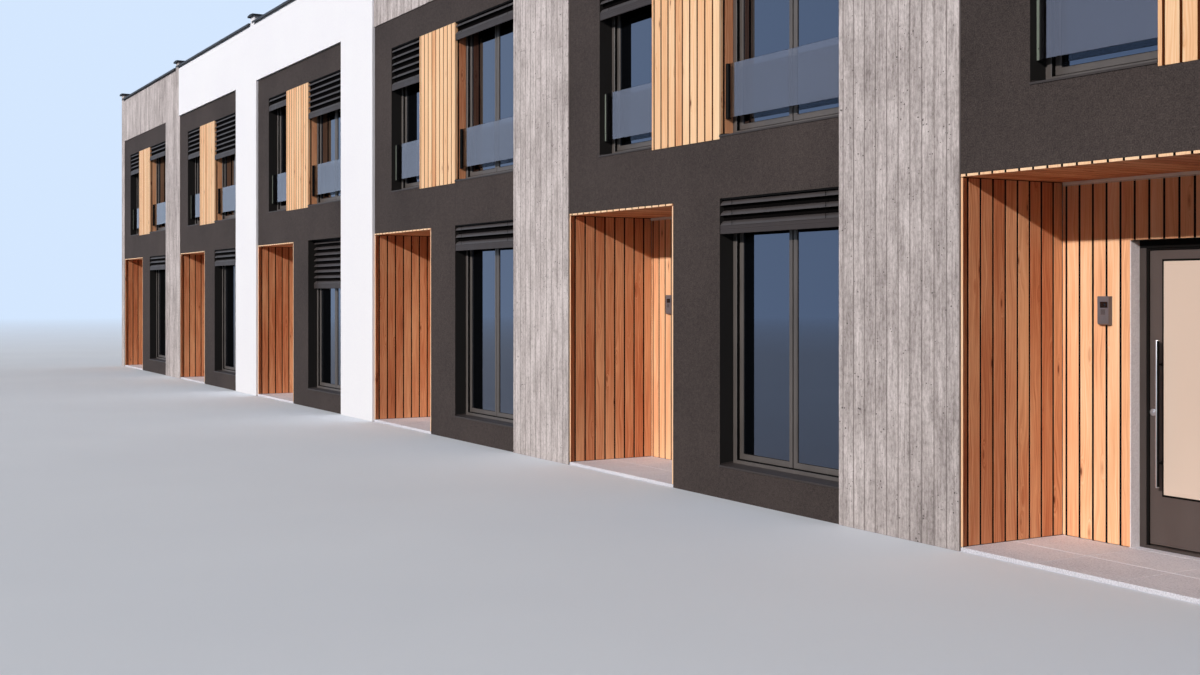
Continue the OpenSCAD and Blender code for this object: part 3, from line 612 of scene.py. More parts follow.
lens_glass = coated_metal("lens glass", seen(18, 17, 19), 0.08, 0.0)
# Black of the seals and of the painted shade in windows and doors
seal_and_shade_black = coated_metal("seal_and_shade_black", seen(16, 14, 13), 0.8, 0.02, 0.05)
diffuser = coated_metal("light diffuser", seen(226, 220, 212), 0.55, 0.02)
light_body = coated_metal("light body", seen(253, 248, 236), 0.45, 0.0)
# The glass's reflection tints are painted reflection: the colours of a sky
clear_glass = glass_finish("window glass", seen(8, 10, 13), (0.56, 0.70, 1.0, 1.0), 0.45, 2.4)
guard_glass = glass_finish("guard glass", seen(168, 170, 175), (0.60, 0.56, 0.63, 1.0), 1.0, 2.6)
steel = brushed_finish("brushed steel", (0.62, 0.62, 0.63, 1.0))
pale_stone = speckled("pale stone", seen(220, 219, 228), seen(238, 237, 244), seen(186, 184, 194), 90.0)
floor_screed = speckled("floor screed", seen(150, 142, 134), seen(170, 162, 154), seen(120, 112, 104), 40.0)
roof_sheet = speckled("roof sheet", seen(104, 104, 107), seen(128, 128, 131), seen(80, 80, 83), 60.0, 0.85)
wall_plaster = plaster_finish()


def dress(node, material):
    """Gives a CAD node its finish, with its mesh left as it is."""
    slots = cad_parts[node].data.materials
    slots.clear()
    slots.append(material)


for node, material in (
    ("ground_floor", floor_screed), ("first_floor", floor_screed), ("roof_deck", floor_screed),
    ("roof_cover", roof_sheet), ("party_walls", wall_plaster), ("party_upstands", white_render),
    ("porch_back_walls", grey_render), ("porch_side_walls", grey_render), ("door_lintels", grey_render),
    ("porch_paving", pale_stone), ("roof_copings", coping_metal), ("window_sills", sill_metal),
    ("ground_windows", window_metal), ("upper_windows", window_metal), ("window_glass", clear_glass),
    ("blinds", blind_metal), ("blind_rails", guide_metal), ("balustrades", guard_glass),
    ("balustrade_channels", rail_metal), ("door_frames", door_frame_metal), ("entry_panels", panel_metal),
    ("porch_lights", light_body), ("white_pillars", white_render), ("white_bands", white_render),
    ("concrete_pillars", board_concrete), ("concrete_bands", board_concrete),
    ("slat_panels", front_timber), ("porch_linings", porch_timber),
):
    dress(node, material)
for number in range(1, HOUSES + 1):
    dress(f"front_door_{number}", door_metal)
    dress(f"pull_handle_{number}", steel)


def at_bays(houses=None):
    """One offset for each house: the bay's left edge, the front render face, the ground."""
    x = BAY_X if houses is None else BAY_X[houses]
    return np.stack([x, np.full(len(x), FRONT_Y), np.zeros(len(x))], 1)


def hollowed(xs, ys, zs, voids):
    """Box cells between the cut planes, all full but for those whose middle lies in one of the voids."""
    x, y, z = np.meshgrid(*[(np.array(c[:-1]) + c[1:]) / 2 for c in (xs, ys, zs)], indexing="ij")
    solid = np.ones(x.shape, bool)
    for (x_low, x_high), (y_low, y_high), (z_low, z_high) in voids:
        inside = (x > x_low) & (x < x_high) & (y > y_low) & (y < y_high) & (z > z_low) & (z < z_high)
        solid &= ~inside
    return cells(xs, ys, zs, solid)


def dark_walls():
    """The dark rendered walls round porch and windows, front and rear: one skin with the openings cut through
    and a recess behind the slats that runs a little lower than the windows."""
    corner = WIDE_X - RETURN_T
    xs = (0.0, NARROW_X, SLATS_X, PORCH_W, corner, WIDE_X, BAY_W)
    ys = (0.0, RECESS_D, FRAME_Y, WALL_T)
    zs = (0.0, SILL_GROUND, HEAD_GROUND, SLAT_LOW_Z, SILL_UPPER, HEAD_UPPER, BAND_Z)
    depth, upper = (0.0, WALL_T), (SILL_UPPER, HEAD_UPPER)
    voids = [((NARROW_X, SLATS_X), depth, upper), ((WIDE_X, BAY_W), depth, upper),
             ((corner, WIDE_X), (0.0, FRAME_Y), upper),
             ((SLATS_X, WIDE_X), (0.0, RECESS_D), (SLAT_LOW_Z, HEAD_UPPER)),
             ((WIDE_X, BAY_W), depth, (SILL_GROUND, HEAD_GROUND))]
    front = hollowed(xs, ys, zs, voids + [((0.0, PORCH_W), depth, (0.0, HEAD_GROUND))])
    rear = hollowed(xs, ys, zs, voids + [((NARROW_X, SLATS_X), depth, (SILL_GROUND, HEAD_GROUND))])
    return joined([repeated(front, at_bays()), mirrored(repeated(rear, at_bays()))])


piece("dark_render_walls", dark_walls(), dark_render,
      ("ground_piers", "window_walls", "spandrels", "upper_piers", "lintels"), bevel=0.002)


def pillars_of(houses):
    """The pillars of a stretch of houses as pairs of left and right edges along the row."""
    edges = [(BAY_X[i] + BAY_W, BAY_X[i] + (PARTY_END_X if i == HOUSES - 1 else HOUSE_W)) for i in houses]
    return [(ROW_X, BAY_X[0])] + edges if houses[0] == 0 else edges


def facing_body(houses, proud):
    """Pillars and band of one stretch of houses as box cells: the band row is full, the lower row only
    at pillars."""
    pillars = pillars_of(houses)
    start = pillars[0][0] if houses[0] == 0 else BAY_X[houses[0]]
    xs = sorted({start, *(x for edges in pillars for x in edges)})
    solid = np.zeros((len(xs) - 1, 1, 2), bool)
    solid[:, :, 1] = True
    for k in range(len(xs) - 1):
        middle = (xs[k] + xs[k + 1]) / 2
        solid[k, 0, 0] = any(a < middle < b for a, b in pillars)
    return cells(xs, (FRONT_Y - proud, FRONT_Y + WALL_T), (0.0, BAND_Z, PARAPET_Z), solid)


WHITE_STRETCHES = ([1, 2], [5])
CONCRETE_STRETCHES = ([0], [3, 4])
piece("white_facings", front_and_rear(joined([facing_body(h, WHITE_PROUD) for h in WHITE_STRETCHES])),
      white_render, ("white_pillars", "white_bands"), bevel=0.004)

RELIEF_T = 0.0045
FORM_BOARD = 0.1285
FORM_FIRST = 0.055
FORM_GAP = 0.010
FORM_DEPTH = 0.0026
FORM_EDGE = 0.0045
FORM_END = 0.0012


def form_boards(x_low, x_high, z_low, z_high, first):
    """The prints of formwork boards on a face: strips with bevelled edges, each of its own depth, length
    and tone."""
    edges = np.append(np.arange(x_low + first, x_high - 0.03, FORM_BOARD), x_high)
    if first > 0.0:
        edges = np.insert(edges, 0, x_low)
    low, high = [], []
    for left, right in zip(edges[:-1], edges[1:]):
        cuts = [z_low]
        while cuts[-1] < z_high - 0.4:
            cuts.append(min(z_high, cuts[-1] + rng.uniform(3.2, 9.0)))
        cuts[-1] = z_high
        for bottom, top in zip(cuts[:-1], cuts[1:]):
            depth = rng.uniform(0.0, FORM_DEPTH)
            low.append((left + FORM_GAP / 2, FRONT_Y - CONCRETE_PROUD + depth, bottom + FORM_END))
            high.append((right - FORM_GAP / 2, FRONT_Y - CONCRETE_PROUD + RELIEF_T + 0.001, top - FORM_END))
    return blocks(low, high, FORM_EDGE)


def concrete_bodies():
    """The bodies behind the prints, with the low tone that marks the bottom of the grooves."""
    made = joined([facing_body(h, CONCRETE_PROUD - RELIEF_T) for h in CONCRETE_STRETCHES])
    made["tone"][:] = -1.0
    return made


def concrete_prints():
    """All board prints of the concrete stretches: pillars run to the parapet, the band fills between them."""
    parts = []
    for houses in CONCRETE_STRETCHES:
        pillars = pillars_of(houses)
        parts += [form_boards(a, b, 0.0, PARAPET_Z, FORM_FIRST) for a, b in pillars]
        parts += [form_boards(BAY_X[i], BAY_X[i] + BAY_W, BAND_Z, PARAPET_Z, 0.0) for i in houses]
    return joined(parts)


piece("concrete_facings", front_and_rear(joined([concrete_bodies(), concrete_prints()])), board_concrete,
      ("concrete_pillars", "concrete_bands"))


def upstand_walls():
    """The party walls' upstands over the parapet; the tone tells a white house from a concrete one."""
    facing = np.concatenate([WHITE[:1], WHITE])
    x = np.concatenate([[ROW_X], BAY_X + PARTY_X])
    proud = np.where(facing, WHITE_PROUD, CONCRETE_PROUD)
    low = np.stack([x, FRONT_Y - proud, np.full(len(x), PARAPET_Z)], 1)
    high = np.stack([x + PARTY_T, proud - FRONT_Y, np.full(len(x), UPSTAND_Z)], 1)
    made = blocks(low, high, 0.003, along=1)
    made["tone"] = np.repeat(facing.astype(float), 32)
    return made


piece("upstand_walls", upstand_walls(), upstand_render, ("party_upstands",))

# Porch: boards on a black backing, notched round the doorway, a soffit, a light bar, slabs
SIDE_GAPS = 0.068 + 0.1245 * np.arange(8)
BACK_GAPS = 0.038 + BOARD_PITCH * np.arange(17)
SOFFIT_GAPS = 0.055 + 0.1243 * np.arange(17)
SOFFIT_Z = HEAD_GROUND - LINING_T
BACKING_T = 0.0015
EDGE_BEAD = 0.006
EDGE_STRIP = 0.006
SIDE_FACE = 0.0034


def between(gaps, start, end, gap=BOARD_GAP, least=0.008):
    """Pairs of edges left over between open joints centred at the given places."""
    cuts = [c for c in gaps if start < c < end]
    lefts = [start] + [c + gap / 2 for c in cuts]
    rights = [c - gap / 2 for c in cuts] + [end]
    return [(a, b) for a, b in zip(lefts, rights) if b - a > least]


def porch_boards():
    """Boards of one porch: both sides, the back round the doorway and above it, and the soffit.
    Painted shade: the side boards and the soffit take the darker half of the tones, the back boards the
    paler half, and the front edges and soffit ends, as a painted highlight, the palest."""
    back = PORCH_D + LINING_T - 0.002
    foot, top = PAVING_Z + 0.004, SOFFIT_Z - 0.006
    sides = between(SIDE_GAPS, 0.0, PORCH_D - 0.006)
    t = EDGE_STRIP
    left_side = blocks([(0.0004, max(a, t), foot) for a, b in sides],
                       [(SIDE_FACE, b, top) for a, b in sides], 0.0008)
    right_side = blocks([(PORCH_W - LINING_T, max(a, t), foot) for a, b in sides],
                        [(PORCH_W - 0.002, b, top) for a, b in sides], 0.0016)
    fronts = blocks([(0.002, 0.0, foot), (PORCH_W - LINING_T, 0.0, foot)],
                    [(LINING_T, t, top), (PORCH_W - 0.002, t, top)], 0.0012)
    left, right = DOOR_X - EDGE_BEAD, DOOR_X + DOOR_W + EDGE_BEAD
    low, high = [], []
    for a, b in between(BACK_GAPS, SIDE_FACE + 0.0005, PORCH_W - LINING_T - 0.0005):
        spans = [(a, b, foot)]
        if b > left and a < right:
            spans = [(a, b, DOOR_Z + 0.001)]
            if a < left - 0.008:
                spans = [(a, left, foot), (left, b, DOOR_Z + 0.001)]
            if b > right + 0.008:
                spans = [(a, right, DOOR_Z + 0.001), (right, b, foot)]
        for x_low, x_high, z_low in spans:
            low.append((x_low, PORCH_D, z_low))
            high.append((x_high, back, top))
    back_boards = blocks(low, high, 0.0016)
    strips = between(SOFFIT_GAPS, 0.0, PORCH_W)
    soffit = blocks([(a, t, SOFFIT_Z) for a, b in strips],
                    [(b, PORCH_D + 0.004, HEAD_GROUND - 0.002) for a, b in strips], 0.0016, along=1)
    ends = blocks([(a, 0.0, SOFFIT_Z) for a, b in strips],
                  [(b, t, HEAD_GROUND - 0.001) for a, b in strips], 0.0012)
    # Lowest tone and spread per part: painted shade on sides and soffit, painted highlight on edges and ends
    parts = ((left_side, 0.0, 0.5), (right_side, 0.0, 0.5), (back_boards, 0.45, 0.6), (soffit, 0.0, 0.4),
             (fronts, 1.4, 0.1), (ends, 1.4, 0.3))
    for part, least, spread in parts:
        part["tone"] = least + spread * part["tone"]
    return joined([part for part, least, spread in parts])


def porch_backing():
    """Thin black sheets behind the boards of one porch and black strips in the joints, a little behind
    the face."""
    t, deep, half = BACKING_T, JOINT_DEPTH, BOARD_GAP / 2
    back = PORCH_D + LINING_T
    left, right = DOOR_X - 0.012, DOOR_X + DOOR_W + 0.012
    low = [(0.0002, t, PAVING_Z), (PORCH_W - t, 0.004, PAVING_Z), (0.0, back - t, PAVING_Z),
           (right, back - t, PAVING_Z), (left, back - t, DOOR_Z + 0.002), (0.0, 0.006, HEAD_GROUND - t)]
    high = [(SIDE_FACE - deep, PORCH_D, SOFFIT_Z), (PORCH_W - 0.0002, PORCH_D, SOFFIT_Z),
            (left, back - 0.0002, SOFFIT_Z), (PORCH_W, back - 0.0002, SOFFIT_Z),
            (right, back - 0.0002, SOFFIT_Z),
            (PORCH_W, PORCH_D + LINING_T, HEAD_GROUND - 0.0002)]
    for y in SIDE_GAPS:
        low.append((PORCH_W - LINING_T + deep, y - half, PAVING_Z))
        high.append((PORCH_W - 0.001, y + half, SOFFIT_Z))
    for x in BACK_GAPS[:-1]:
        foot = DOOR_Z + 0.002 if DOOR_X - 0.014 < x < DOOR_X + DOOR_W + 0.014 else PAVING_Z
        low.append((x - half, PORCH_D + deep, foot))
        high.append((x + half, back - 0.001, SOFFIT_Z))
    for x in SOFFIT_GAPS[:-1]:
        low.append((x - half, deep, SOFFIT_Z + deep))
        high.append((x + half, PORCH_D, HEAD_GROUND - 0.001))
    return blocks(low, high, 0.0002)


piece("porch_boards", repeated(porch_boards(), at_bays(), 0.15), porch_timber,
      ("porch_linings",))
piece("porch_backing", repeated(porch_backing(), at_bays()), batten_black)


def porch_walls():
    """The rendered walls behind the boards with a thin bead up both sides of the doorway, as box cells
    in one skin."""
    wall_y, end_y = PORCH_D + LINING_T, PORCH_D + LINING_T + PORCH_WALL_T
    right = DOOR_X + DOOR_W
    xs = (-BAY_INSET, 0.0, DOOR_X - EDGE_BEAD, DOOR_X, right, right + EDGE_BEAD, PORCH_W,
          PORCH_W + PORCH_WALL_T)
    ys = (WALL_T, PORCH_D + 0.001, wall_y, end_y)
    zs = (0.0, DOOR_Z, HEAD_GROUND)
    solid = np.zeros((7, 3, 2), bool)
    solid[0] = True
    solid[6] = True
    solid[1:6, 2] = True
    solid[2:5, 1, 0] = True
    solid[3, 1:, 0] = False
    return cells(xs, ys, zs, solid)


piece("porch_walls", repeated(porch_walls(), at_bays()), grey_render,
      ("porch_back_walls", "porch_side_walls", "door_lintels"), bevel=0.0015)


def slab_field(x, y, columns, rows):
    """Stone slabs of one porch on a mortar bed: equal slabs with bevelled edges and open joints of 4 mm."""
    xs, ys = np.linspace(x[0], x[1], columns + 1), np.linspace(y[0], y[1], rows + 1)
    a, b = np.meshgrid(xs[:-1], ys[:-1], indexing="ij")
    c, d = np.meshgrid(xs[1:], ys[1:], indexing="ij")
    joint = 0.002
    low = np.stack([a + joint, b + joint, np.full(a.shape, 0.004)], -1).reshape(-1, 3)
    high = np.stack([c - joint, d - joint, np.full(a.shape, PAVING_Z)], -1).reshape(-1, 3)
    bed = blocks([(x[0], y[0], 0.0)], [(x[1], y[1], PAVING_Z - 0.006)], 0.001)
    return joined([blocks(low, high, 0.0025, along=0), bed])


def porch_slabs():
    """The paving of one porch: a field before the boards and one strip in the doorway."""
    return joined([slab_field((0.0, PORCH_W), (0.0, PORCH_D), 3, 2),
                   slab_field((DOOR_X, DOOR_X + DOOR_W), (PORCH_D, PORCH_D + LINING_T + PORCH_WALL_T), 2, 1)])


piece("porch_slabs", repeated(porch_slabs(), at_bays(), 0.3), pale_stone, ("porch_paving",))

# Porch light: the level that its housing and caps are set out from, as a drop below the soffit, its depth
# off the back boards and the number of its caps
LIGHT_DROP = 0.027
LIGHT_D = 0.020
LIGHT_CAPS = 5


def light_bars():
    """The slim light along the back of each porch: a housing with bevelled edges, with caps and clips
    spread evenly along it."""
    z_low = SOFFIT_Z - LIGHT_DROP
    housing = blocks([(LINING_T, PORCH_D - LIGHT_D, z_low + 0.004)],
                     [(PORCH_W - LINING_T, PORCH_D, z_low + 0.0265)], 0.0015, along=0)
    places = np.linspace(LINING_T + 0.006, PORCH_W - LINING_T - 0.016, LIGHT_CAPS)
    caps = blocks([(x, PORCH_D - LIGHT_D - 0.0005, z_low + 0.003) for x in places],
                  [(x + 0.010, PORCH_D, z_low + 0.0268) for x in places], 0.0008, along=0)
    return joined([housing, caps])


def light_lenses():
    """The diffuser of each light bar: a half-round section that runs along a little below the housing."""
    turn = np.linspace(0.0, np.pi, 9)
    y = PORCH_D - LIGHT_D / 2 + 0.0085 * np.cos(turn)
    section = np.stack([y, SOFFIT_Z - 0.0265 - 0.0045 * np.sin(turn)], 1)
    return carried(section, [(LINING_T + 0.002, 0.0, 0.0)], PORCH_W - 2 * LINING_T - 0.004, 0)


piece("light_bars", repeated(light_bars(), at_bays()), light_body, ("porch_lights",))
piece("light_lenses", repeated(light_lenses(), at_bays()), diffuser, smooth=30)

# Slat panels: front slats with bevelled edges, battens behind, a return of two boards
SLAT_COUNT = 8
SLATS_END_X = WIDE_X - SLAT_LAST_W
SLAT_LEFTS = SLATS_END_X - SLAT_PITCH * np.arange(SLAT_COUNT, 0, -1)
BATTEN_H = 0.060
BATTEN_INSET = 0.150
SLAT_EDGE = 0.0012
RETURN_GAP = 0.0215
# Tone of the corner slat's side, darker than any front slat: painted shade for that grazing-lit side
CORNER_SHADE_TONE = -0.4


def slat_panel():
    """One panel: a narrow slat, eight full ones and a corner slat, three battens, and the corner slat's
    side."""
    lefts = np.concatenate([[SLATS_X], SLAT_LEFTS, [SLATS_END_X]])
    rights = np.append(lefts[1:] - SLAT_GAP, WIDE_X)
    n = len(lefts)
    slat_back = SLAT_T - SLAT_PROUD
    low = np.stack([lefts, np.full(n, -SLAT_PROUD), np.full(n, SLAT_LOW_Z)], 1)
    high = np.stack([rights, np.full(n, slat_back), np.full(n, HEAD_UPPER)], 1)
    fronts = blocks(low, high, SLAT_EDGE)
    left = WIDE_X - RETURN_T
    side = blocks([(left, slat_back, SLAT_LOW_Z)], [(WIDE_X, CORNER_D, HEAD_UPPER)], SLAT_EDGE)
    side["tone"][:] = CORNER_SHADE_TONE
    zs = [SILL_UPPER + BATTEN_INSET, (SILL_UPPER + HEAD_UPPER - BATTEN_H) / 2,
          HEAD_UPPER - BATTEN_INSET - BATTEN_H]
    battens = blocks([(SLATS_X, slat_back, z) for z in zs],
                     [(left, RECESS_D, z + BATTEN_H) for z in zs], 0.002, along=0)
    return joined([fronts, side, battens])


piece("timber_slats", front_and_rear(repeated(slat_panel(), at_bays(), 0.2)), front_timber,
      ("slat_panels",))


def slat_joints():
    """Brown strips in the joints between the slats, a little behind their faces."""
    joints = np.append(SLAT_LEFTS, SLATS_END_X)
    n = len(joints)
    face = JOINT_DEPTH - SLAT_PROUD
    low = np.stack([joints - SLAT_GAP, np.full(n, face), np.full(n, SLAT_LOW_Z + 0.002)], 1)
    high = np.stack([joints, np.full(n, SLAT_T - SLAT_PROUD), np.full(n, HEAD_UPPER - 0.002)], 1)
    return blocks(low, high, 0.0003)


def return_boards():
    """The board behind the panel's corner slat, along the side of the opening."""
    return blocks([(WIDE_X - RETURN_T, CORNER_D + RETURN_GAP, SILL_UPPER)],
                  [(WIDE_X, RETURN_D, HEAD_UPPER)], SLAT_EDGE)


def return_gaps():
    """A black strip in the gap between the corner board and the board behind it."""
    left = WIDE_X - RETURN_T
    return blocks([(left, CORNER_D, SILL_UPPER)],
                  [(left + 0.0185, CORNER_D + RETURN_GAP, HEAD_UPPER - 0.001)], 0.0003)


piece("slat_joints", front_and_rear(repeated(slat_joints(), at_bays())), joint_brown)
# The return board takes the darker, redder porch timber as painted shade for its place in the opening
piece("return_boards", front_and_rear(repeated(return_boards(), at_bays(), 0.4)), porch_timber)
piece("return_gaps", front_and_rear(repeated(return_gaps(), at_bays())), batten_black)

# Windows: x, width, sill, height and leaves in a bay
UPPER = ((NARROW_X, NARROW_W, SILL_UPPER, HEAD_UPPER - SILL_UPPER, 1),
         (WIDE_X, WIDE_W, SILL_UPPER, HEAD_UPPER - SILL_UPPER, 2))
GROUND_FRONT = ((WIDE_X, WIDE_W, SILL_GROUND, HEAD_GROUND - SILL_GROUND, 2),)
GROUND_REAR = ((NARROW_X, NARROW_W, SILL_GROUND, HEAD_GROUND - SILL_GROUND, 1),) + GROUND_FRONT
FRAME_W = 0.051
SASH_W = 0.060
GLASS_MID = FRAME_Y + 0.0545
# Sections of the frame and what sits in it, as distance inwards and depth behind the frame's face
FRAME_SECTION = [(0.0, 0.001), (0.001, 0.0), (0.047, 0.0), (0.051, 0.004), (0.051, 0.078), (0.049, 0.080),
                 (0.0, 0.080)]
SASH_SECTION = [(0.008, 0.031), (0.010, 0.029), (0.049, 0.029), (0.052, 0.032), (0.052, 0.037),
                (0.057, 0.037), (0.0595, 0.040), (0.0595, 0.071), (0.052, 0.073), (0.052, 0.079),
                (0.008, 0.079)]
SEAL_SECTION = [(0.057, 0.0375), (0.0625, 0.0420), (0.0625, 0.0430), (0.057, 0.0430)]
# The shadow and rebate rings below are black painted shade: frame-to-sash gap, frame's inner side
SHADOW_SECTION = [(-0.001, 0.038), (0.009, 0.038), (0.009, 0.076), (-0.001, 0.076)]
REBATE_SHADE_SECTION = [(0.050, 0.004), (0.0525, 0.004), (0.0525, 0.040), (0.050, 0.040)]
SPACER_SECTION = [(0.060, 0.0485), (0.071, 0.0485), (0.071, 0.0605), (0.060, 0.0605)]


def leaves_of(opening):
    """The leaves of an opening as offset, width and height inside the frame."""
    x, w, z, h, count = opening
    leaf = (w - 2 * FRAME_W) / count
    return [((x + FRAME_W + k * leaf, FRAME_Y, z + FRAME_W), leaf, h - 2 * FRAME_W) for k in range(count)]


def rings(openings, section, on_frame=False):
    """A section carried round each leaf of the openings, or round each whole opening."""
    parts = []
    for o in openings:
        if on_frame:
            parts.append(repeated(ringed(section, o[1], o[3]), [(o[0], FRAME_Y, o[2])]))
        else:
            parts += [repeated(ringed(section, w, h), [at]) for at, w, h in leaves_of(o)]
    return joined(parts)


def window_bodies(openings):
    """Frames and sashes: two chamfered sections mitred round frame and leaf."""
    return joined([rings(openings, FRAME_SECTION, on_frame=True), rings(openings, SASH_SECTION)])


def window_seals_and_shade(openings):
    """Black seals round the glass, and black rings of painted shade in the gap between frame and sash and
    on the frame's inner side.
    """
    return joined([rings(openings, SHADOW_SECTION), rings(openings, SEAL_SECTION),
                   rings(openings, REBATE_SHADE_SECTION, on_frame=True)])


def panes(openings):
    """Two panes to each leaf with bevelled edges: the outer and the inner sheet of a sealed unit."""
    low, high = [], []
    for o in openings:
        for (x, y, z), w, h in leaves_of(o):
            for near, far in ((-0.012, -0.006), (0.006, 0.012)):
                low.append((x + SASH_W, GLASS_MID + near, z + SASH_W))
                high.append((x + w - SASH_W, GLASS_MID + far, z + h - SASH_W))
    return blocks(low, high, 0.0008)


def on_fronts(make):
    """A piece's parts at the upper openings front and rear and at the ground floor's openings."""
    rear = make(UPPER + GROUND_REAR)
    return joined([repeated(make(UPPER + GROUND_FRONT), at_bays()), mirrored(repeated(rear, at_bays()))])


def glass_spacers(openings):
    """The pale bar between the two panes of each leaf, carried round the glass."""
    return rings(openings, SPACER_SECTION)


def ground_window_bodies():
    """Frames and sashes of the ground floor: one window to a bay on the street, two at the rear."""
    street = repeated(window_bodies(GROUND_FRONT), at_bays())
    return joined([street, mirrored(repeated(window_bodies(GROUND_REAR), at_bays()))])


piece("ground_window_frames", ground_window_bodies(), window_metal, ("ground_windows",))
piece("upper_window_frames", front_and_rear(repeated(window_bodies(UPPER), at_bays())), window_metal,
      ("upper_windows",))
# Seals, and the black rings of painted shade round each window's sash and frame
piece("window_seals_and_shade", on_fronts(window_seals_and_shade), seal_and_shade_black)
piece("glass_panes", on_fronts(panes), clear_glass, ("window_glass",))
piece("glass_spacers", on_fronts(glass_spacers), light_body)

# Sections of a sill and of its upturned end, as depth behind the render and height over the opening's foot
SILL_SECTION = [(-0.008, -0.0075), (-0.0075, -0.008), (-0.0045, -0.008), (-0.004, -0.0075),
                (-0.004, -0.0005), (0.004, 0.0), (0.150, 0.0), (0.150, 0.020), (0.146, 0.020),
                (-0.004, 0.0083), (-0.0070, 0.0072), (-0.008, 0.0050)]
SILL_END = [(-0.0075, -0.007), (-0.0075, 0.009), (-0.004, 0.0115), (0.020, 0.024), (0.148, 0.034),
            (0.148, 0.001), (-0.004, 0.001), (-0.004, -0.007)]
SILL_END_T = 0.003


def sills(openings):
    """Folded sills: a sloping plate with a rounded front and a small drip, and an upturned end at each
    side."""
    parts = []
    for x, w, z, h, count in openings:
        parts.append(carried(SILL_SECTION, [(x, 0.0, z)], w, 0))
        parts.append(carried(SILL_END, [(x, 0.0, z), (x + w - SILL_END_T, 0.0, z)], SILL_END_T, 0))
    return joined(parts)


piece("folded_sills", on_fronts(sills), sill_metal, ("window_sills",))

# Thickness of the black sheets that paint shade into the window reveals
REVEAL_SHADE_T = 0.0015


def reveal_shade_sheets(openings):
    """Dark sheets of painted shade on the head and the jambs of dark render in each opening, as far as
    the window frame."""
    t, deep, low, high = REVEAL_SHADE_T, FRAME_Y - 0.0005, [], []
    for x, w, z, h, count in openings:
        low.append((x + t, 0.0008, z + h - t))
        high.append((x + w - 0.0005, deep, z + h - 0.0001))
        if x == NARROW_X or z == SILL_GROUND:
            low.append((x + 0.0001, 0.0008, z + 0.012))
            high.append((x + t, deep, z + h - 0.0001))
        if x == NARROW_X:
            start = RECESS_D + 0.002 if z == SILL_UPPER else 0.0008
            low.append((x + w - t, start, z + 0.016))
            high.append((x + w - 0.0001, deep, z + h - t))
    return blocks(low, high, 0.0002)


piece("reveal_shade_sheets", on_fronts(reveal_shade_sheets), reveal_shade_black)

# Outside blinds of the street front: houses' slat counts, and how far behind the render they hang
NARROW_BLINDS = (5, 6, 2, 6, 6, 3)
WIDE_BLINDS = (3, 8, 6, 2, 2, 2)
GROUND_BLINDS = (3, 3, 8, 3, 3, 3)
BLIND_SETBACK = 0.003
DEEP_SETBACK = 0.098
GROUND_SETBACKS = [DEEP_SETBACK if deep else BLIND_SETBACK for deep in (0, 0, 1, 0, 0, 0)]
BLIND_PLAY = 0.004
BLIND_PITCH = 0.092
BLIND_FIRST = 0.064
BLIND_W = 0.062
BLIND_RISE = 0.007
BLIND_TILT = math.radians(46)
SLAT_HIGH = BLIND_W * math.sin(BLIND_TILT)
SLAT_DEEP = BLIND_W * math.cos(BLIND_TILT)
BAR_H = 0.075
BAR_D = 0.016
RAIL_H = 0.014
RAIL_D = 0.034
RAIL_FRONT = 0.005
# From a blind's end to the middle of its ladder tape
TAPE_INSET = 0.180


def slat_section():
    """A curved blind slat: two arcs 1.6 mm apart that end in round beads, tipped with its street edge
    down."""
    radius = ((BLIND_W / 2) ** 2 + BLIND_RISE ** 2) / (2 * BLIND_RISE)
    reach = math.asin((BLIND_W / 2 - 0.002) / radius)
    turn = np.linspace(-reach, reach, 13)
    upper = np.stack([radius * np.sin(turn), BLIND_RISE - radius + radius * np.cos(turn)], 1)
    inner = radius - 0.0016
    lower = np.stack([inner * np.sin(turn[::-1]), BLIND_RISE - radius + inner * np.cos(turn[::-1])], 1)

    def bead(centre, from_angle):
        angle = from_angle - np.linspace(0.2, np.pi + 1.1, 6)
        return np.stack([centre[0] + 0.0020 * np.cos(angle), centre[1] + 0.0020 * np.sin(angle)], 1)

    right, left = upper[-1] - [0.0, 0.0012], upper[0] - [0.0, 0.0012]
    outline = np.concatenate([upper, bead(right, np.pi / 2), lower, bead(left, -np.pi / 2)])
    c, s = math.cos(BLIND_TILT), math.sin(BLIND_TILT)
    return np.stack([outline[:, 0] * c - outline[:, 1] * s, outline[:, 0] * s + outline[:, 1] * c], 1)


BAR_SECTION = [(0.0, 0.003), (0.003, 0.0), (0.013, 0.0), (0.016, 0.003), (0.016, 0.070), (0.012, 0.075),
               (0.004, 0.075), (0.0, 0.071), (0.0, 0.044), (0.0015, 0.042), (0.0015, 0.038), (0.0, 0.036)]
HEAD_SECTION = [(0.0, 0.002), (0.002, 0.0), (0.032, 0.0), (0.034, 0.002), (0.034, 0.0138), (0.0315, 0.0138),
                (0.0315, 0.0025), (0.0025, 0.0025), (0.0025, 0.0138), (0.0, 0.0138)]


def hanging(opening, slats):
    """Where a blind hangs: its left and right end, the top of its bottom bar, and the head of its opening."""
    x, w, z, h, count = opening
    return x + BLIND_PLAY, x + w - BLIND_PLAY, z + h - BLIND_FIRST - (slats - 1) * BLIND_PITCH, z + h


def blind_slats(opening, slats, setback):
    """The curved slats of one blind at one pitch, the lowest on the bottom bar."""
    start, end, bar_top, head = hanging(opening, slats)
    levels = bar_top + BLIND_PITCH * np.arange(slats) + SLAT_HIGH / 2
    places = [(start, setback + SLAT_DEEP / 2, level) for level in levels]
    return carried(slat_section(), places, end - start, 0)


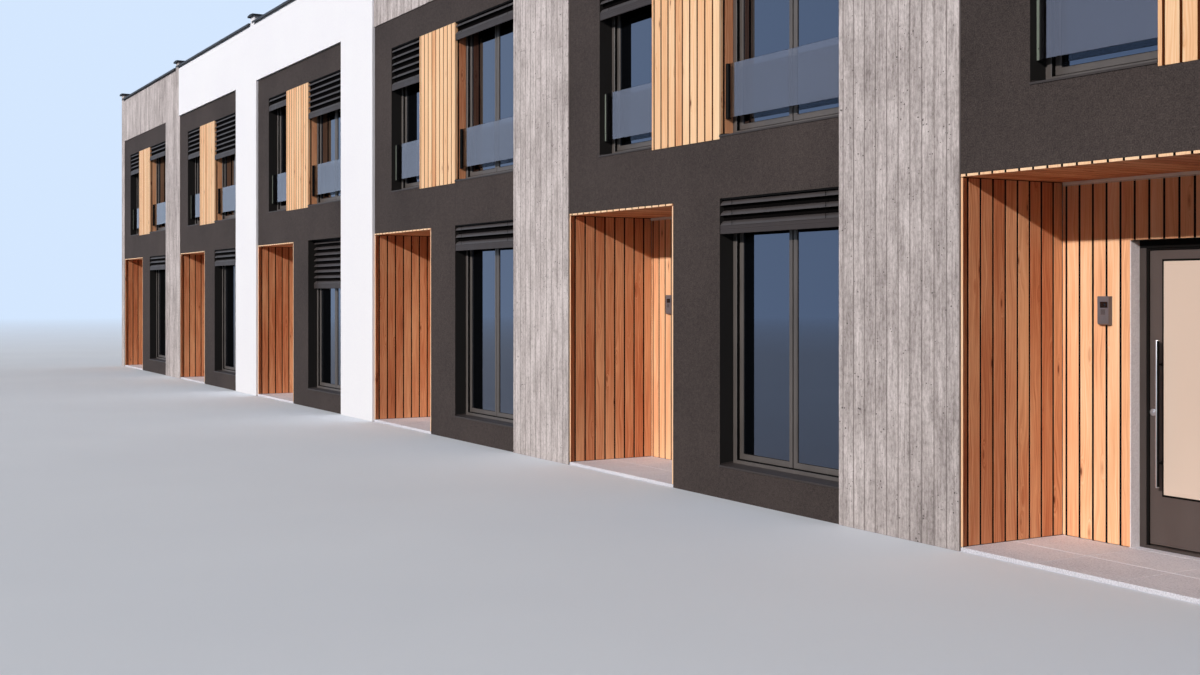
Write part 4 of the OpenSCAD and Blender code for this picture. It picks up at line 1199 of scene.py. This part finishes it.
def blind_bar(opening, slats, setback):
    """The bottom bar of one blind: a folded section with a groove, and a cap at each end."""
    start, end, bar_top, head = hanging(opening, slats)
    bar = carried(BAR_SECTION, [(start + 0.003, setback, bar_top - BAR_H)], end - start - 0.006, 0)
    caps = blocks([(start, setback, bar_top - BAR_H), (end - 0.004, setback, bar_top - BAR_H)],
                  [(start + 0.004, setback + BAR_D, bar_top), (end, setback + BAR_D, bar_top)], 0.001)
    return joined([bar, caps])


def blind_tapes_and_shade(opening, slats, setback):
    """What hangs with the slats: ladder tapes before and behind them, and a black sheet of painted shade
    close behind.
    """
    start, end, bar_top, head = hanging(opening, slats)
    low = [(start, setback + SLAT_DEEP, bar_top - 0.030)]
    high = [(end, setback + SLAT_DEEP + 0.001, head - 0.0002)]
    for at in (start + TAPE_INSET, end - TAPE_INSET):
        for y in (setback + 0.0003, setback + SLAT_DEEP - 0.0011):
            low.append((at - 0.003, y, bar_top - 0.001))
            high.append((at + 0.003, y + 0.0008, head - RAIL_H + 0.001))
    return blocks(low, high, 0.0002)


def head_rail(opening, slats, setback):
    """The rail that carries one blind: a folded channel open to the head, with a cap at each end."""
    start, end, bar_top, head = hanging(opening, slats)
    y, low = setback + RAIL_FRONT, head - RAIL_H
    rail = carried(HEAD_SECTION, [(start + 0.002, y, low)], end - start - 0.004, 0)
    caps = blocks([(start, y, low), (end - 0.003, y, low)],
                  [(start + 0.003, y + RAIL_D, head - 0.0002), (end, y + RAIL_D, head - 0.0002)], 0.0008)
    return joined([rail, caps])


def over_houses(make):
    """A blind's piece in every opening of the street front; make takes the opening, its slats and its
    setback."""
    parts = []
    for i in range(HOUSES):
        places = ((GROUND_FRONT[0], GROUND_BLINDS[i], GROUND_SETBACKS[i]),
                  (UPPER[0], NARROW_BLINDS[i], BLIND_SETBACK), (UPPER[1], WIDE_BLINDS[i], BLIND_SETBACK))
        parts += [repeated(make(*place), at_bays([i])) for place in places]
    return joined(parts)


piece("blind_slats", over_houses(blind_slats), blind_metal, ("blinds",), smooth=35)
piece("blind_bars", over_houses(blind_bar), bar_metal)
# Tapes, and a black sheet of painted shade behind each blind's slats
piece("blind_shade_sheets", over_houses(blind_tapes_and_shade), tape_and_shade_black)
piece("head_rails", over_houses(head_rail), guide_metal, ("blind_rails",))

# Balustrades of the upper openings: depth and height of the glass, and of its side channels
GUARD_Y = 0.078
GUARD_T = 0.012
GUARD_LOW = 0.150
GUARD_H = 0.500
# How much higher the channels and the glass's upper edge are drawn than in the solids they stand for
GUARD_OVER = 0.009
CHANNEL_W = 0.036
CHANNEL_D = 0.040
CHANNEL_FOOT = 0.006
SCREW_X = 0.018
SCREW_Z = 0.080


def guards(openings):
    """Balustrade glass: sheets with bevelled edges, held off their channels by a small play."""
    low, high = [], []
    for x, w, z, h, count in openings:
        low.append((x + 0.0063, GUARD_Y, z + GUARD_LOW + 0.018))
        high.append((x + w - 0.0063, GUARD_Y + GUARD_T, z + GUARD_LOW + GUARD_H + GUARD_OVER))
    return blocks(low, high, 0.0014)


def guard_channels(openings):
    """Side channels: a U with small chamfers round the edge of the glass, closed by a foot, with two
    screws on its street face."""
    y = GUARD_Y + GUARD_T / 2
    half, slot, w_in = CHANNEL_D / 2, GUARD_T / 2 + 0.0003, CHANNEL_W - 0.002
    left = [(0.0, -half + 0.002), (0.002, -half), (w_in, -half), (CHANNEL_W, -half + 0.002),
            (CHANNEL_W, -slot), (0.006, -slot), (0.006, slot), (CHANNEL_W, slot),
            (CHANNEL_W, half - 0.002), (w_in, half), (0.002, half), (0.0, half - 0.002)]
    left = np.array(left) + [0.0, y]
    parts = []
    screw = turned([0.0046, 0.0052, 0.0052], [-0.0014, -0.0008, 0.0006], 12, along=1)
    for x, w, z, h, count in openings:
        foot = z + GUARD_LOW + GUARD_OVER
        start, tall = foot + CHANNEL_FOOT, GUARD_H - CHANNEL_FOOT
        parts.append(carried(left, [(x, 0.0, start)], tall, 2))
        parts.append(carried(left * [-1.0, 1.0], [(x + w, 0.0, start)], tall, 2))
        parts.append(blocks([(x, y - half, foot), (x + w - CHANNEL_W, y - half, foot)],
                            [(x + CHANNEL_W, y + half, start), (x + w, y + half, start)], 0.001))
        parts.append(repeated(screw, [(screw_x, y - half, foot + screw_z)
                                      for screw_x in (x + SCREW_X, x + w - SCREW_X)
                                      for screw_z in (SCREW_Z, GUARD_H - SCREW_Z)]))
    return joined(parts)


piece("guard_panes", front_and_rear(repeated(guards(UPPER), at_bays())), guard_glass,
      ("balustrades",))

# The pale strips on a narrow window's channels, as their two edges from the channel's outer side, and how
# far they stand out from its street face
STRIPS = ((0.0015, 0.0115), (0.0130, 0.0240))
STRIP_PROUD = 0.0012


def channel_strips(openings):
    """Two thin pale strips along the street face of each side channel, with a fine dark line between them."""
    low, high = [], []
    face = GUARD_Y + GUARD_T / 2 - CHANNEL_D / 2
    front, back = face - STRIP_PROUD, face + 0.0004
    for x, w, z, h, count in openings:
        foot, top = z + GUARD_LOW + 0.012, z + GUARD_LOW + GUARD_H
        for a, b in STRIPS:
            low += [(x + a, front, foot), (x + w - b, front, foot)]
            high += [(x + b, back, top), (x + w - a, back, top)]
    return blocks(low, high, 0.0004)


piece("guard_channels", front_and_rear(repeated(guard_channels(UPPER), at_bays())), rail_metal,
      ("balustrade_channels",))
piece("channel_strips", front_and_rear(repeated(channel_strips(UPPER[:1]), at_bays())), channel_metal)

# Roof metal: folded copings with joint covers, and caps over the party walls
COPING_OVER = 0.045
COPING_DRIP = 0.026
STRAP_W = 0.110
COPING_FALL = (0.016, 0.006)
COPING_T = 0.004
STRAP_SWELL = 0.0015
CAP_DRIP = 0.025
CAP_EDGE = 0.008
CAP_RIDGE = 0.020


def folded_cover(low, high, swell=0.0):
    """A coping's section: a plate with a fall, bevelled arrises and two drips that end in a turned-out
    hem. A strap's section swells by the strap's thickness."""
    a, b, s = low - swell, high + swell, swell
    plate_low, plate_high = COPING_FALL
    drip, thick, r = COPING_DRIP, COPING_T, 0.004
    return [(a - 0.003, -drip + 0.001), (a + thick, -drip), (a + thick, 0.001), (b - thick, 0.001),
            (b - thick, -drip), (b + 0.003, -drip + 0.001), (b, -drip + 0.008), (b, plate_high - r + s),
            (b - r, plate_high + s), (a + r, plate_low + s), (a, plate_low - r + s), (a, -drip + 0.008)]


def copings():
    """The street coping of each house, with a strap over the joints about every two metres."""
    parts = []
    width = PARTY_X + BAY_INSET
    for i in range(HOUSES):
        proud = WHITE_PROUD if WHITE[i] else CONCRETE_PROUD
        cover = folded_cover(-proud - COPING_OVER, WALL_T + COPING_OVER)
        strap = folded_cover(-proud - COPING_OVER, WALL_T + COPING_OVER, STRAP_SWELL)
        at = np.array([BAY_X[i] - BAY_INSET, FRONT_Y, PARAPET_Z])
        joints = [at + [width * k / 3 - STRAP_W / 2, 0.0, 0.0] for k in (1, 2)]
        parts.append(carried(cover, [at], width, 0))
        parts.append(carried(strap, joints, STRAP_W, 0))
    return joined(parts)


def wall_caps():
    """The caps that run back along the party walls: a low ridge, drips on both sides, closed ends and
    straps."""
    def section(swell):
        """The cap's section as height and place along the row; a strap's swells by its thickness."""
        a, b = -COPING_OVER - swell, PARTY_T + COPING_OVER + swell
        edge, ridge, inner = CAP_EDGE + swell, CAP_RIDGE + swell, 0.012
        return [(-CAP_DRIP, a), (edge, a), (ridge, (a + b) / 2), (edge, b), (-CAP_DRIP, b),
                (-CAP_DRIP, b - inner), (0.0, b - inner), (0.0, a + inner), (-CAP_DRIP, a + inner)]

    facing = np.concatenate([WHITE[:1], WHITE])
    proud = np.where(facing, WHITE_PROUD, CONCRETE_PROUD) + COPING_OVER
    x = np.concatenate([[ROW_X], BAY_X + PARTY_X])
    parts = []
    for left, reach in zip(x, proud):
        start = FRONT_Y - reach
        length = -2 * start
        parts.append(carried(section(0.0), [(left, start, UPSTAND_Z)], length, 1))
        places = np.linspace(start, start + length, 6)[1:-1]
        joints = [(left, y - STRAP_W / 2, UPSTAND_Z) for y in places]
        parts.append(carried(section(STRAP_SWELL), joints, STRAP_W, 1))
        near, far = left - COPING_OVER, left + PARTY_T + COPING_OVER
        foot, top = UPSTAND_Z - CAP_DRIP, UPSTAND_Z + CAP_EDGE
        parts.append(blocks([(near, start, foot), (near, -start - COPING_T, foot)],
                            [(far, start + COPING_T, top), (far, -start, top)], 0.001, along=0))
    return joined(parts)


piece("metal_copings", joined([front_and_rear(copings()), wall_caps()]), coping_metal,
      ("roof_copings",))

# Roof covering: its height at the street and its fall to the rear, the top of the deck under it, both
# heights over the band's foot, and the width of a sheet
COVER_H = 0.52
COVER_FALL = 0.100
DECK_TOP = 0.30
SHEET_W = 1.05


def roof_sheets():
    """Roof covering: a profile with a welded lap at each sheet's edge carried along Y, then lowered
    evenly to the rear: z = z - fall * distance from the street wall / depth."""
    width = PARTY_X + BAY_INSET
    depth = HOUSE_D - 2 * WALL_T
    laps = np.arange(SHEET_W, width, SHEET_W)
    rise = 0.0035
    xs, zs = [0.0], [0.0]
    for lap in laps:
        xs += [lap - 0.002, lap, lap + 0.075, lap + 0.078]
        zs += [0.0, rise, rise, 0.0]
    xs.append(width)
    zs.append(0.0)
    section = [(z, x) for x, z in zip(xs, zs)] + [(-0.12, width), (-0.12, 0.0)]
    starts = [(x - BAY_INSET, FRONT_Y + WALL_T, BAND_Z + COVER_H) for x in BAY_X]
    made = carried(section, starts, depth, 1)
    y, z = made["points"][:, 1], made["points"][:, 2]
    top = z > BAND_Z + COVER_H - 0.06
    lowered = z - COVER_FALL * (y - FRONT_Y - WALL_T) / depth
    made["points"][:, 2] = np.where(top, lowered, BAND_Z + DECK_TOP)
    return made


piece("roof_sheets", roof_sheets(), roof_sheet, ("roof_cover",))

# Front doors. Places in a bay: x from its left edge, y from the render face
STOP_Y = PORCH_D + 0.096
LEAF_X = DOOR_X + 0.050
LEAF_END_X = DOOR_X + DOOR_W - 0.050
LEAF_Y = STOP_Y + 0.025
LEAF_BACK_Y = LEAF_Y + 0.060
LEAF_LOW = 0.060
LEAF_TOP = 2.176
LEAF_GAP = 0.008
HINGE_R = 0.009
HINGE_X = LEAF_END_X - LEAF_GAP / 2
HINGE_Y = LEAF_BACK_Y + HINGE_R
HINGE_Z = (0.300, 1.080, 1.860)
KNUCKLE_H = 0.060
KNUCKLE_PLAY = 0.0003
FLAP_W = 0.036
FLAP_T = 0.004
ROSE_X = LEAF_X + 0.048
ROSE_Z = 1.003
PULL_X = LEAF_X + LEAF_GAP + 0.117
PULL_Y = LEAF_Y - 0.056
PULL_Z = 0.474
PULL_R = 0.014
POST_ZS = (PULL_Z + 0.175, PULL_Z + 0.875)


def arched(section, width, height):
    """A closed section carried up one side, across the top and down the other with mitred corners.
    The section's columns are the distance inwards and the depth; both feet are closed."""
    section = np.asarray(section, float)
    u, v = section[:, 0], section[:, 1]
    if np.sum(v * np.roll(u, -1) - np.roll(v, -1) * u) < 0:
        section = section[::-1]
    u, v = section[:, 0], section[:, 1]
    m = len(u)
    x = np.stack([width - u, width - u, u, u])
    z = np.stack([np.zeros(m), height - u, height - u, np.zeros(m)])
    points = np.stack([x, np.broadcast_to(v, (4, m)), z], -1).reshape(-1, 3)
    i = np.arange(m)
    j = (i + 1) % m
    k = np.arange(3)[:, None] * m
    quads = np.stack([k + i, k + j, k + j + m, k + i + m], -1)
    corners = np.concatenate([quads.ravel(), i[::-1], i + 3 * m])
    return shape(points, corners, np.array([4] * (3 * m) + [m, m]))


def knuckle():
    """One knuckle of a hinge: a short barrel with chamfered ends."""
    return turned([HINGE_R - 0.0015, HINGE_R, HINGE_R, HINGE_R - 0.0015],
                  [0.0, 0.0015, KNUCKLE_H - 0.0015, KNUCKLE_H], 20)


def door_surround():
    """Door frame: an outer stop and a rebated jamb round three sides, a ribbed threshold, and the lower
    hinge halves."""
    depth = LEAF_BACK_Y - STOP_Y
    jamb = [(0.0, 0.001), (0.001, 0.0), (0.054, 0.0), (0.056, 0.002), (0.056, 0.0235), (0.050, 0.0235),
            (0.050, depth), (0.0, depth)]
    frame_part = repeated(arched(jamb, DOOR_W, DOOR_Z - PAVING_Z), [(DOOR_X, STOP_Y, PAVING_Z)])
    ribs = [(0.0, 0.0), (depth, 0.0), (depth, 0.018), (0.060, 0.022), (0.052, 0.022), (0.050, 0.0195),
            (0.046, 0.0195), (0.044, 0.022), (0.038, 0.022), (0.036, 0.0195), (0.032, 0.0195),
            (0.030, 0.022), (0.006, 0.021), (0.0, 0.014)]
    threshold = carried(ribs, [(DOOR_X + 0.051, STOP_Y, PAVING_Z)], DOOR_W - 0.102, 0)
    lower = repeated(knuckle(), [(HINGE_X, HINGE_Y, z) for z in HINGE_Z])
    flaps = blocks([(HINGE_X, LEAF_BACK_Y, z) for z in HINGE_Z],
                   [(HINGE_X + FLAP_W, LEAF_BACK_Y + FLAP_T, z + KNUCKLE_H) for z in HINGE_Z], 0.001)
    return joined([frame_part, threshold, lower, flaps])


def door_shade_and_seal():
    """Painted shade at the door: the black seal between stop and leaf, drawn wide to take in the shade of
    the gap, a black strip along the frame's head, and a black sheet under the lintel."""
    ring = [(0.0555, 0.008), (0.070, 0.011), (0.072, 0.0235), (0.0555, 0.0235)]
    start, end = DOOR_X + 0.001, DOOR_X + DOOR_W - 0.001
    head = blocks([(start, STOP_Y - 0.0015, DOOR_Z - 0.0565), (start, PORCH_D + 0.002, DOOR_Z - 0.002)],
                  [(end, STOP_Y + 0.004, DOOR_Z - 0.001), (end, STOP_Y + 0.001, DOOR_Z - 0.0002)],
                  0.0004, along=0)
    seal = arched(ring, DOOR_W, DOOR_Z - PAVING_Z - 0.023)
    return joined([repeated(seal, [(DOOR_X, STOP_Y, PAVING_Z + 0.022)]), head])


LEAF_BORDER = 0.127
LEAF_RAIL_LOW = 0.360
LEAF_RAIL_TOP = 0.100
INLAY_X = LEAF_X + LEAF_GAP + LEAF_BORDER
INLAY_END_X = LEAF_END_X - LEAF_GAP - LEAF_BORDER
INLAY_LOW = LEAF_LOW + LEAF_RAIL_LOW
INLAY_TOP = LEAF_TOP + LEAF_GAP - LEAF_RAIL_TOP


def door_leaf():
    """The leaf: a slab with bevelled edges, and the upper hinge halves."""
    slab = blocks([(LEAF_X + LEAF_GAP, LEAF_Y, LEAF_LOW)],
                  [(LEAF_END_X - LEAF_GAP, LEAF_BACK_Y, LEAF_TOP)], 0.002)
    feet = [z + KNUCKLE_H + KNUCKLE_PLAY for z in HINGE_Z]
    upper = repeated(knuckle(), [(HINGE_X, HINGE_Y, z) for z in feet])
    flaps = blocks([(HINGE_X - FLAP_W, LEAF_BACK_Y, z) for z in feet],
                   [(HINGE_X, LEAF_BACK_Y + FLAP_T, z + KNUCKLE_H) for z in feet], 0.001)
    return joined([slab, upper, flaps])


def door_inlay_panel():
    """The pale inlay: a flat field inside a bevelled rim carried round it."""
    w, h = INLAY_END_X - INLAY_X, INLAY_TOP - INLAY_LOW
    rim = [(0.003, 0.0), (0.003, -0.0028), (0.0045, -0.004), (0.026, -0.004), (0.028, -0.0025), (0.028, 0.0)]
    field = blocks([(0.027, -0.0030, 0.027)], [(w - 0.027, 0.0, h - 0.027)], 0.0004)
    return repeated(joined([ringed(rim, w, h), field]), [(INLAY_X, LEAF_Y, INLAY_LOW)])


def inlay_groove():
    """The groove between leaf and inlay as painted shade: a thin flat black ring just proud of the leaf."""
    w, h = INLAY_END_X - INLAY_X, INLAY_TOP - INLAY_LOW
    ring = [(-0.012, 0.0), (-0.012, -0.0006), (0.004, -0.0006), (0.004, 0.0)]
    return repeated(ringed(ring, w, h), [(INLAY_X, LEAF_Y, INLAY_LOW)])


def handle():
    """The pull handle's round bar with domed ends, and the lock's rose and cylinder."""
    bar = repeated(turned([0.006, 0.0105, 0.0130, PULL_R, PULL_R, 0.0130, 0.0105, 0.006],
                          [0.0, 0.0008, 0.0025, 0.006, 1.044, 1.0475, 1.0492, 1.050], 32),
                   [(PULL_X, PULL_Y, PULL_Z)])
    rose = turned([0.009, 0.0092, 0.0205, 0.0235, 0.0255, 0.026, 0.026],
                  [-0.0078, -0.0080, -0.0080, -0.0075, -0.0060, -0.0040, 0.0], 40, along=1)
    lock = turned([0.0070, 0.0088, 0.0090, 0.0090], [-0.0110, -0.0104, -0.0095, -0.0070], 28, along=1)
    return joined([bar, repeated(joined([rose, lock]), [(ROSE_X, LEAF_Y, ROSE_Z)])])


def handle_posts():
    """The pull handle's two standoffs, each with a stepped foot on the leaf, black as painted shade, and a
    black strip of painted dark reflection round the bar's side: an arc of 130 degrees, 1.4 mm thick."""
    post = turned([0.007, 0.007, 0.0075, 0.0125, 0.0130, 0.0130],
                  [-0.056, -0.005, -0.0042, -0.0034, -0.0028, 0.0], 24, along=1)
    turn = np.radians(np.linspace(-65.0, 65.0, 9))
    arc = np.stack([np.cos(turn), np.sin(turn)], 1)
    band = np.concatenate([arc * (PULL_R + 0.0006), arc[::-1] * (PULL_R - 0.0008)])
    strip = carried(band, [(PULL_X, PULL_Y, PULL_Z + 0.008)], 1.034, 2)
    return joined([repeated(post, [(PULL_X, LEAF_Y, z) for z in POST_ZS]), strip])


def keyway():
    """The key slot on the lock cylinder: a small inset with bevelled corners, its darkness painted shade."""
    return blocks([(ROSE_X - 0.0011, LEAF_Y - 0.0113, ROSE_Z - 0.0035)],
                  [(ROSE_X + 0.0011, LEAF_Y - 0.0105, ROSE_Z + 0.0045)], 0.0002)


def door_shade_parts():
    """What is painted black on a leaf as shade and dark reflection: the inlay's groove, the key slot, and
    the handle's posts and dark side.
    """
    return joined([inlay_groove(), keyway(), handle_posts()])


piece("door_surrounds", repeated(door_surround(), at_bays()), door_frame_metal,
      ("door_frames",), smooth=30)
# The door's seal, and black painted shade at its head and under the lintel
piece("door_shade_and_seals", repeated(door_shade_and_seal(), at_bays()), seal_and_shade_black)
for i in range(HOUSES):
    here, body = at_bays([i]), f"door_{i + 1}"
    piece(f"door_leaf_{i + 1}", repeated(door_leaf(), here), door_metal,
          (f"front_door_{i + 1}",), body, smooth=30)
    piece(f"door_inlay_{i + 1}", repeated(door_inlay_panel(), here), door_inlay, body=body)
    # Black painted shade on the leaf, and the painted dark side of its handle
    piece(f"door_shade_marks_{i + 1}", repeated(door_shade_parts(), here), seal_and_shade_black, body=body)
    piece(f"door_handle_{i + 1}", repeated(handle(), here), steel,
          (f"pull_handle_{i + 1}",), body, smooth=35)

# Entry panel beside each door
PANEL_X = 0.362
PANEL_W = 0.100
PANEL_Z = 1.622
PANEL_H = 0.210
PANEL_D = 0.040
PANEL_Y = PORCH_D - PANEL_D
PANEL_MID = PANEL_X + PANEL_W / 2
SPEAKER_SLOTS = 6
SLOT_PITCH = 0.0065
SLOT_H = 0.0025


def entry_body():
    """The entry panel: a box whose front leans back at its foot, carried along X, with a rim round the
    camera's window and a button. The section is the drop from the top and the depth."""
    section = [(0.0, PANEL_D), (0.0, 0.004), (0.004, 0.0), (0.190, 0.0), (0.202, 0.004),
               (PANEL_H, 0.016), (PANEL_H, PANEL_D)]
    side = np.array([(y, PANEL_H - drop) for drop, y in section])
    case = carried(side + [PANEL_Y, PANEL_Z], [(PANEL_X, 0.0, 0.0)], PANEL_W, 0)
    button = repeated(turned([0.008, 0.0105, 0.0115, 0.0135, 0.014, 0.014],
                             [-0.0016, -0.0018, -0.0008, -0.0008, -0.0012, 0.001], 28, along=1),
                      [(PANEL_MID, PANEL_Y, PANEL_Z + 0.045)])
    rim = repeated(ringed([(0.0, 0.0), (0.0, -0.0016), (0.0035, -0.0016), (0.0045, 0.0)], 0.076, 0.052),
                   [(PANEL_MID - 0.030, PANEL_Y, PANEL_Z + 0.122)])
    return joined([case, button, rim])


def entry_eyes():
    """Dark parts of the entry panel: the camera's window with its domed lens, and the slots of the
    speaker."""
    mid, back = PANEL_MID, PANEL_Y + 0.001
    window = blocks([(mid - 0.026, PANEL_Y - 0.0008, PANEL_Z + 0.126)],
                    [(mid + 0.042, back, PANEL_Z + 0.170)], 0.0004)
    lens = repeated(turned([0.003, 0.009, 0.0135, 0.0155, 0.0160],
                           [-0.0062, -0.0052, -0.0034, -0.0010, 0.0], 28, along=1),
                    [(mid + 0.010, PANEL_Y - 0.0008, PANEL_Z + 0.148)])
    feet = [PANEL_Z + 0.078 + SLOT_PITCH * k for k in range(SPEAKER_SLOTS)]
    slots = blocks([(mid - 0.020, PANEL_Y - 0.0006, z) for z in feet],
                   [(mid + 0.020, back, z + SLOT_H) for z in feet], 0.0003, along=0)
    return joined([window, lens, slots])


piece("entry_bodies", repeated(entry_body(), at_bays()), panel_metal, ("entry_panels",),
      smooth=30)
piece("entry_eyes", repeated(entry_eyes(), at_bays()), lens_glass, smooth=30)


# Camera at the photo's viewing angle: 42 mm lens, level, turned 30 degrees from the row
PHOTO_W = 1200
PHOTO_H = 675
LENS_PX = 1400
HORIZON_PX = 292.8
VIEW_TURN = math.radians(29.94)
SENSOR_W = 36.0
CAMERA_RIGHT = 7.421
CAMERA_BACK = 7.264
CAMERA_Z = 1.857
camera_data = bpy.data.cameras.new("camera")
camera = bpy.data.objects.new("camera", camera_data)
bpy.context.scene.collection.objects.link(camera)
bpy.context.scene.camera = camera
camera_data.sensor_width = SENSOR_W
camera_data.lens = SENSOR_W * LENS_PX / PHOTO_W
camera_data.shift_y = (HORIZON_PX - PHOTO_H / 2) / PHOTO_W
camera_data.clip_start = 0.05
camera_data.clip_end = 600.0
camera.location = (BAY_X[-1] + CAMERA_RIGHT, FRONT_Y - CAMERA_BACK, CAMERA_Z)
camera.rotation_euler = (math.radians(90), 0.0, math.radians(90) - VIEW_TURN)

# Floor, backdrop and lights
scene = bpy.context.scene
scene.view_settings.view_transform = "Standard"

BACKDROP = (0.66, 0.80, 1.0, 1.0)
FLOOR_BOUNCE = seen(80, 79, 72)
FLOOR_REACH = 220
FADE_START = 26.0
FADE_END = 90.0
STREET_FILL = 0.04
REAR_FILL = 0.75
FILL_END_Y = 0.7
SUN_STRENGTH = 3.36
SUN_SIZE = math.radians(1.2)
SUN_COLOUR = (1.0, 0.965, 0.94)
SUN_TURN = math.radians(17)
SUN_RISE = math.radians(22.6)
floor_mesh = bpy.data.meshes.new("floor")
floor_mesh.from_pydata([(-FLOOR_REACH, -FLOOR_REACH, 0), (FLOOR_REACH, -FLOOR_REACH, 0),
                        (FLOOR_REACH, FLOOR_REACH, 0), (-FLOOR_REACH, FLOOR_REACH, 0)], [], [(0, 1, 2, 3)])
floor = bpy.data.objects.new("floor", floor_mesh)
scene.collection.objects.link(floor)
floor_finish = Finish("plain floor", roughness=0.9, Specular_IOR_Level=0.1)
floor_at = floor_finish.place()
floor_tone = floor_finish.noise(floor_at, 0.4, 2.0, 0.5)
sight = floor_finish.node("ShaderNodeLightPath")
direct = floor_finish.sums("MAXIMUM", sight.outputs["Is Camera Ray"], sight.outputs["Is Glossy Ray"])
direct = floor_finish.sums("MAXIMUM", direct, sight.outputs["Is Transmission Ray"])
floor_mesh.materials.append(floor_finish.done(floor_finish.blend(
    direct, FLOOR_BOUNCE, floor_finish.blend(floor_tone, seen(230, 236, 246), seen(238, 244, 253)))))
reach = floor_finish.node("ShaderNodeVectorMath", operation="LENGTH")
floor_finish.put(reach.inputs[0], floor_at)
far = floor_finish.span(reach.outputs["Value"], FADE_START, FADE_END)
bare = floor_finish.node("ShaderNodeEmission")
bare.inputs["Color"].default_value = BACKDROP
fade = floor_finish.node("ShaderNodeMixShader")
floor_finish.put(fade.inputs[0], far)
floor_finish.put(fade.inputs[1], floor_finish.shader.outputs[0])
floor_finish.put(fade.inputs[2], bare.outputs[0])
floor_finish.put(floor_finish.tree.nodes["Material Output"].inputs["Surface"], fade.outputs[0])

world = bpy.data.worlds.new("studio")
scene.world = world
world.use_nodes = True
sky_tree = world.node_tree
plain = sky_tree.nodes["Background"]
plain.inputs["Color"].default_value = (0.93, 0.96, 1.0, 1.0)
# The soft fill grows from the street side to the rear, so that the shaded rear can be read
way = sky_tree.nodes.new("ShaderNodeTexCoord")
axes = sky_tree.nodes.new("ShaderNodeSeparateXYZ")
fill = sky_tree.nodes.new("ShaderNodeMapRange")
for end, value in (("From Min", 0.0), ("From Max", FILL_END_Y),
                   ("To Min", STREET_FILL), ("To Max", REAR_FILL)):
    fill.inputs[end].default_value = value
sky_tree.links.new(way.outputs["Generated"], axes.inputs[0])
sky_tree.links.new(axes.outputs["Y"], fill.inputs["Value"])
sky_tree.links.new(fill.outputs["Result"], plain.inputs["Strength"])
bright = sky_tree.nodes.new("ShaderNodeBackground")
bright.inputs["Color"].default_value = BACKDROP
bright.inputs["Strength"].default_value = 1.0
path = sky_tree.nodes.new("ShaderNodeLightPath")
either = sky_tree.nodes.new("ShaderNodeMath")
either.operation = "MAXIMUM"
either_two = sky_tree.nodes.new("ShaderNodeMath")
either_two.operation = "MAXIMUM"
mixed = sky_tree.nodes.new("ShaderNodeMixShader")
link = sky_tree.links.new
link(path.outputs["Is Camera Ray"], either.inputs[0])
link(path.outputs["Is Glossy Ray"], either.inputs[1])
link(either.outputs[0], either_two.inputs[0])
link(path.outputs["Is Transmission Ray"], either_two.inputs[1])
link(either_two.outputs[0], mixed.inputs[0])
link(plain.outputs[0], mixed.inputs[1])
link(bright.outputs[0], mixed.inputs[2])
link(mixed.outputs[0], sky_tree.nodes["World Output"].inputs["Surface"])

# A low, warm sun with fairly crisp shadows, from the street and a little to the viewer's right
sun_data = bpy.data.lights.new("sun", "SUN")
sun_data.energy = SUN_STRENGTH
sun_data.angle = SUN_SIZE
sun_data.color = SUN_COLOUR
sun = bpy.data.objects.new("sun", sun_data)
scene.collection.objects.link(sun)
sun.rotation_euler = (math.radians(90) - SUN_RISE, 0.0, SUN_TURN)
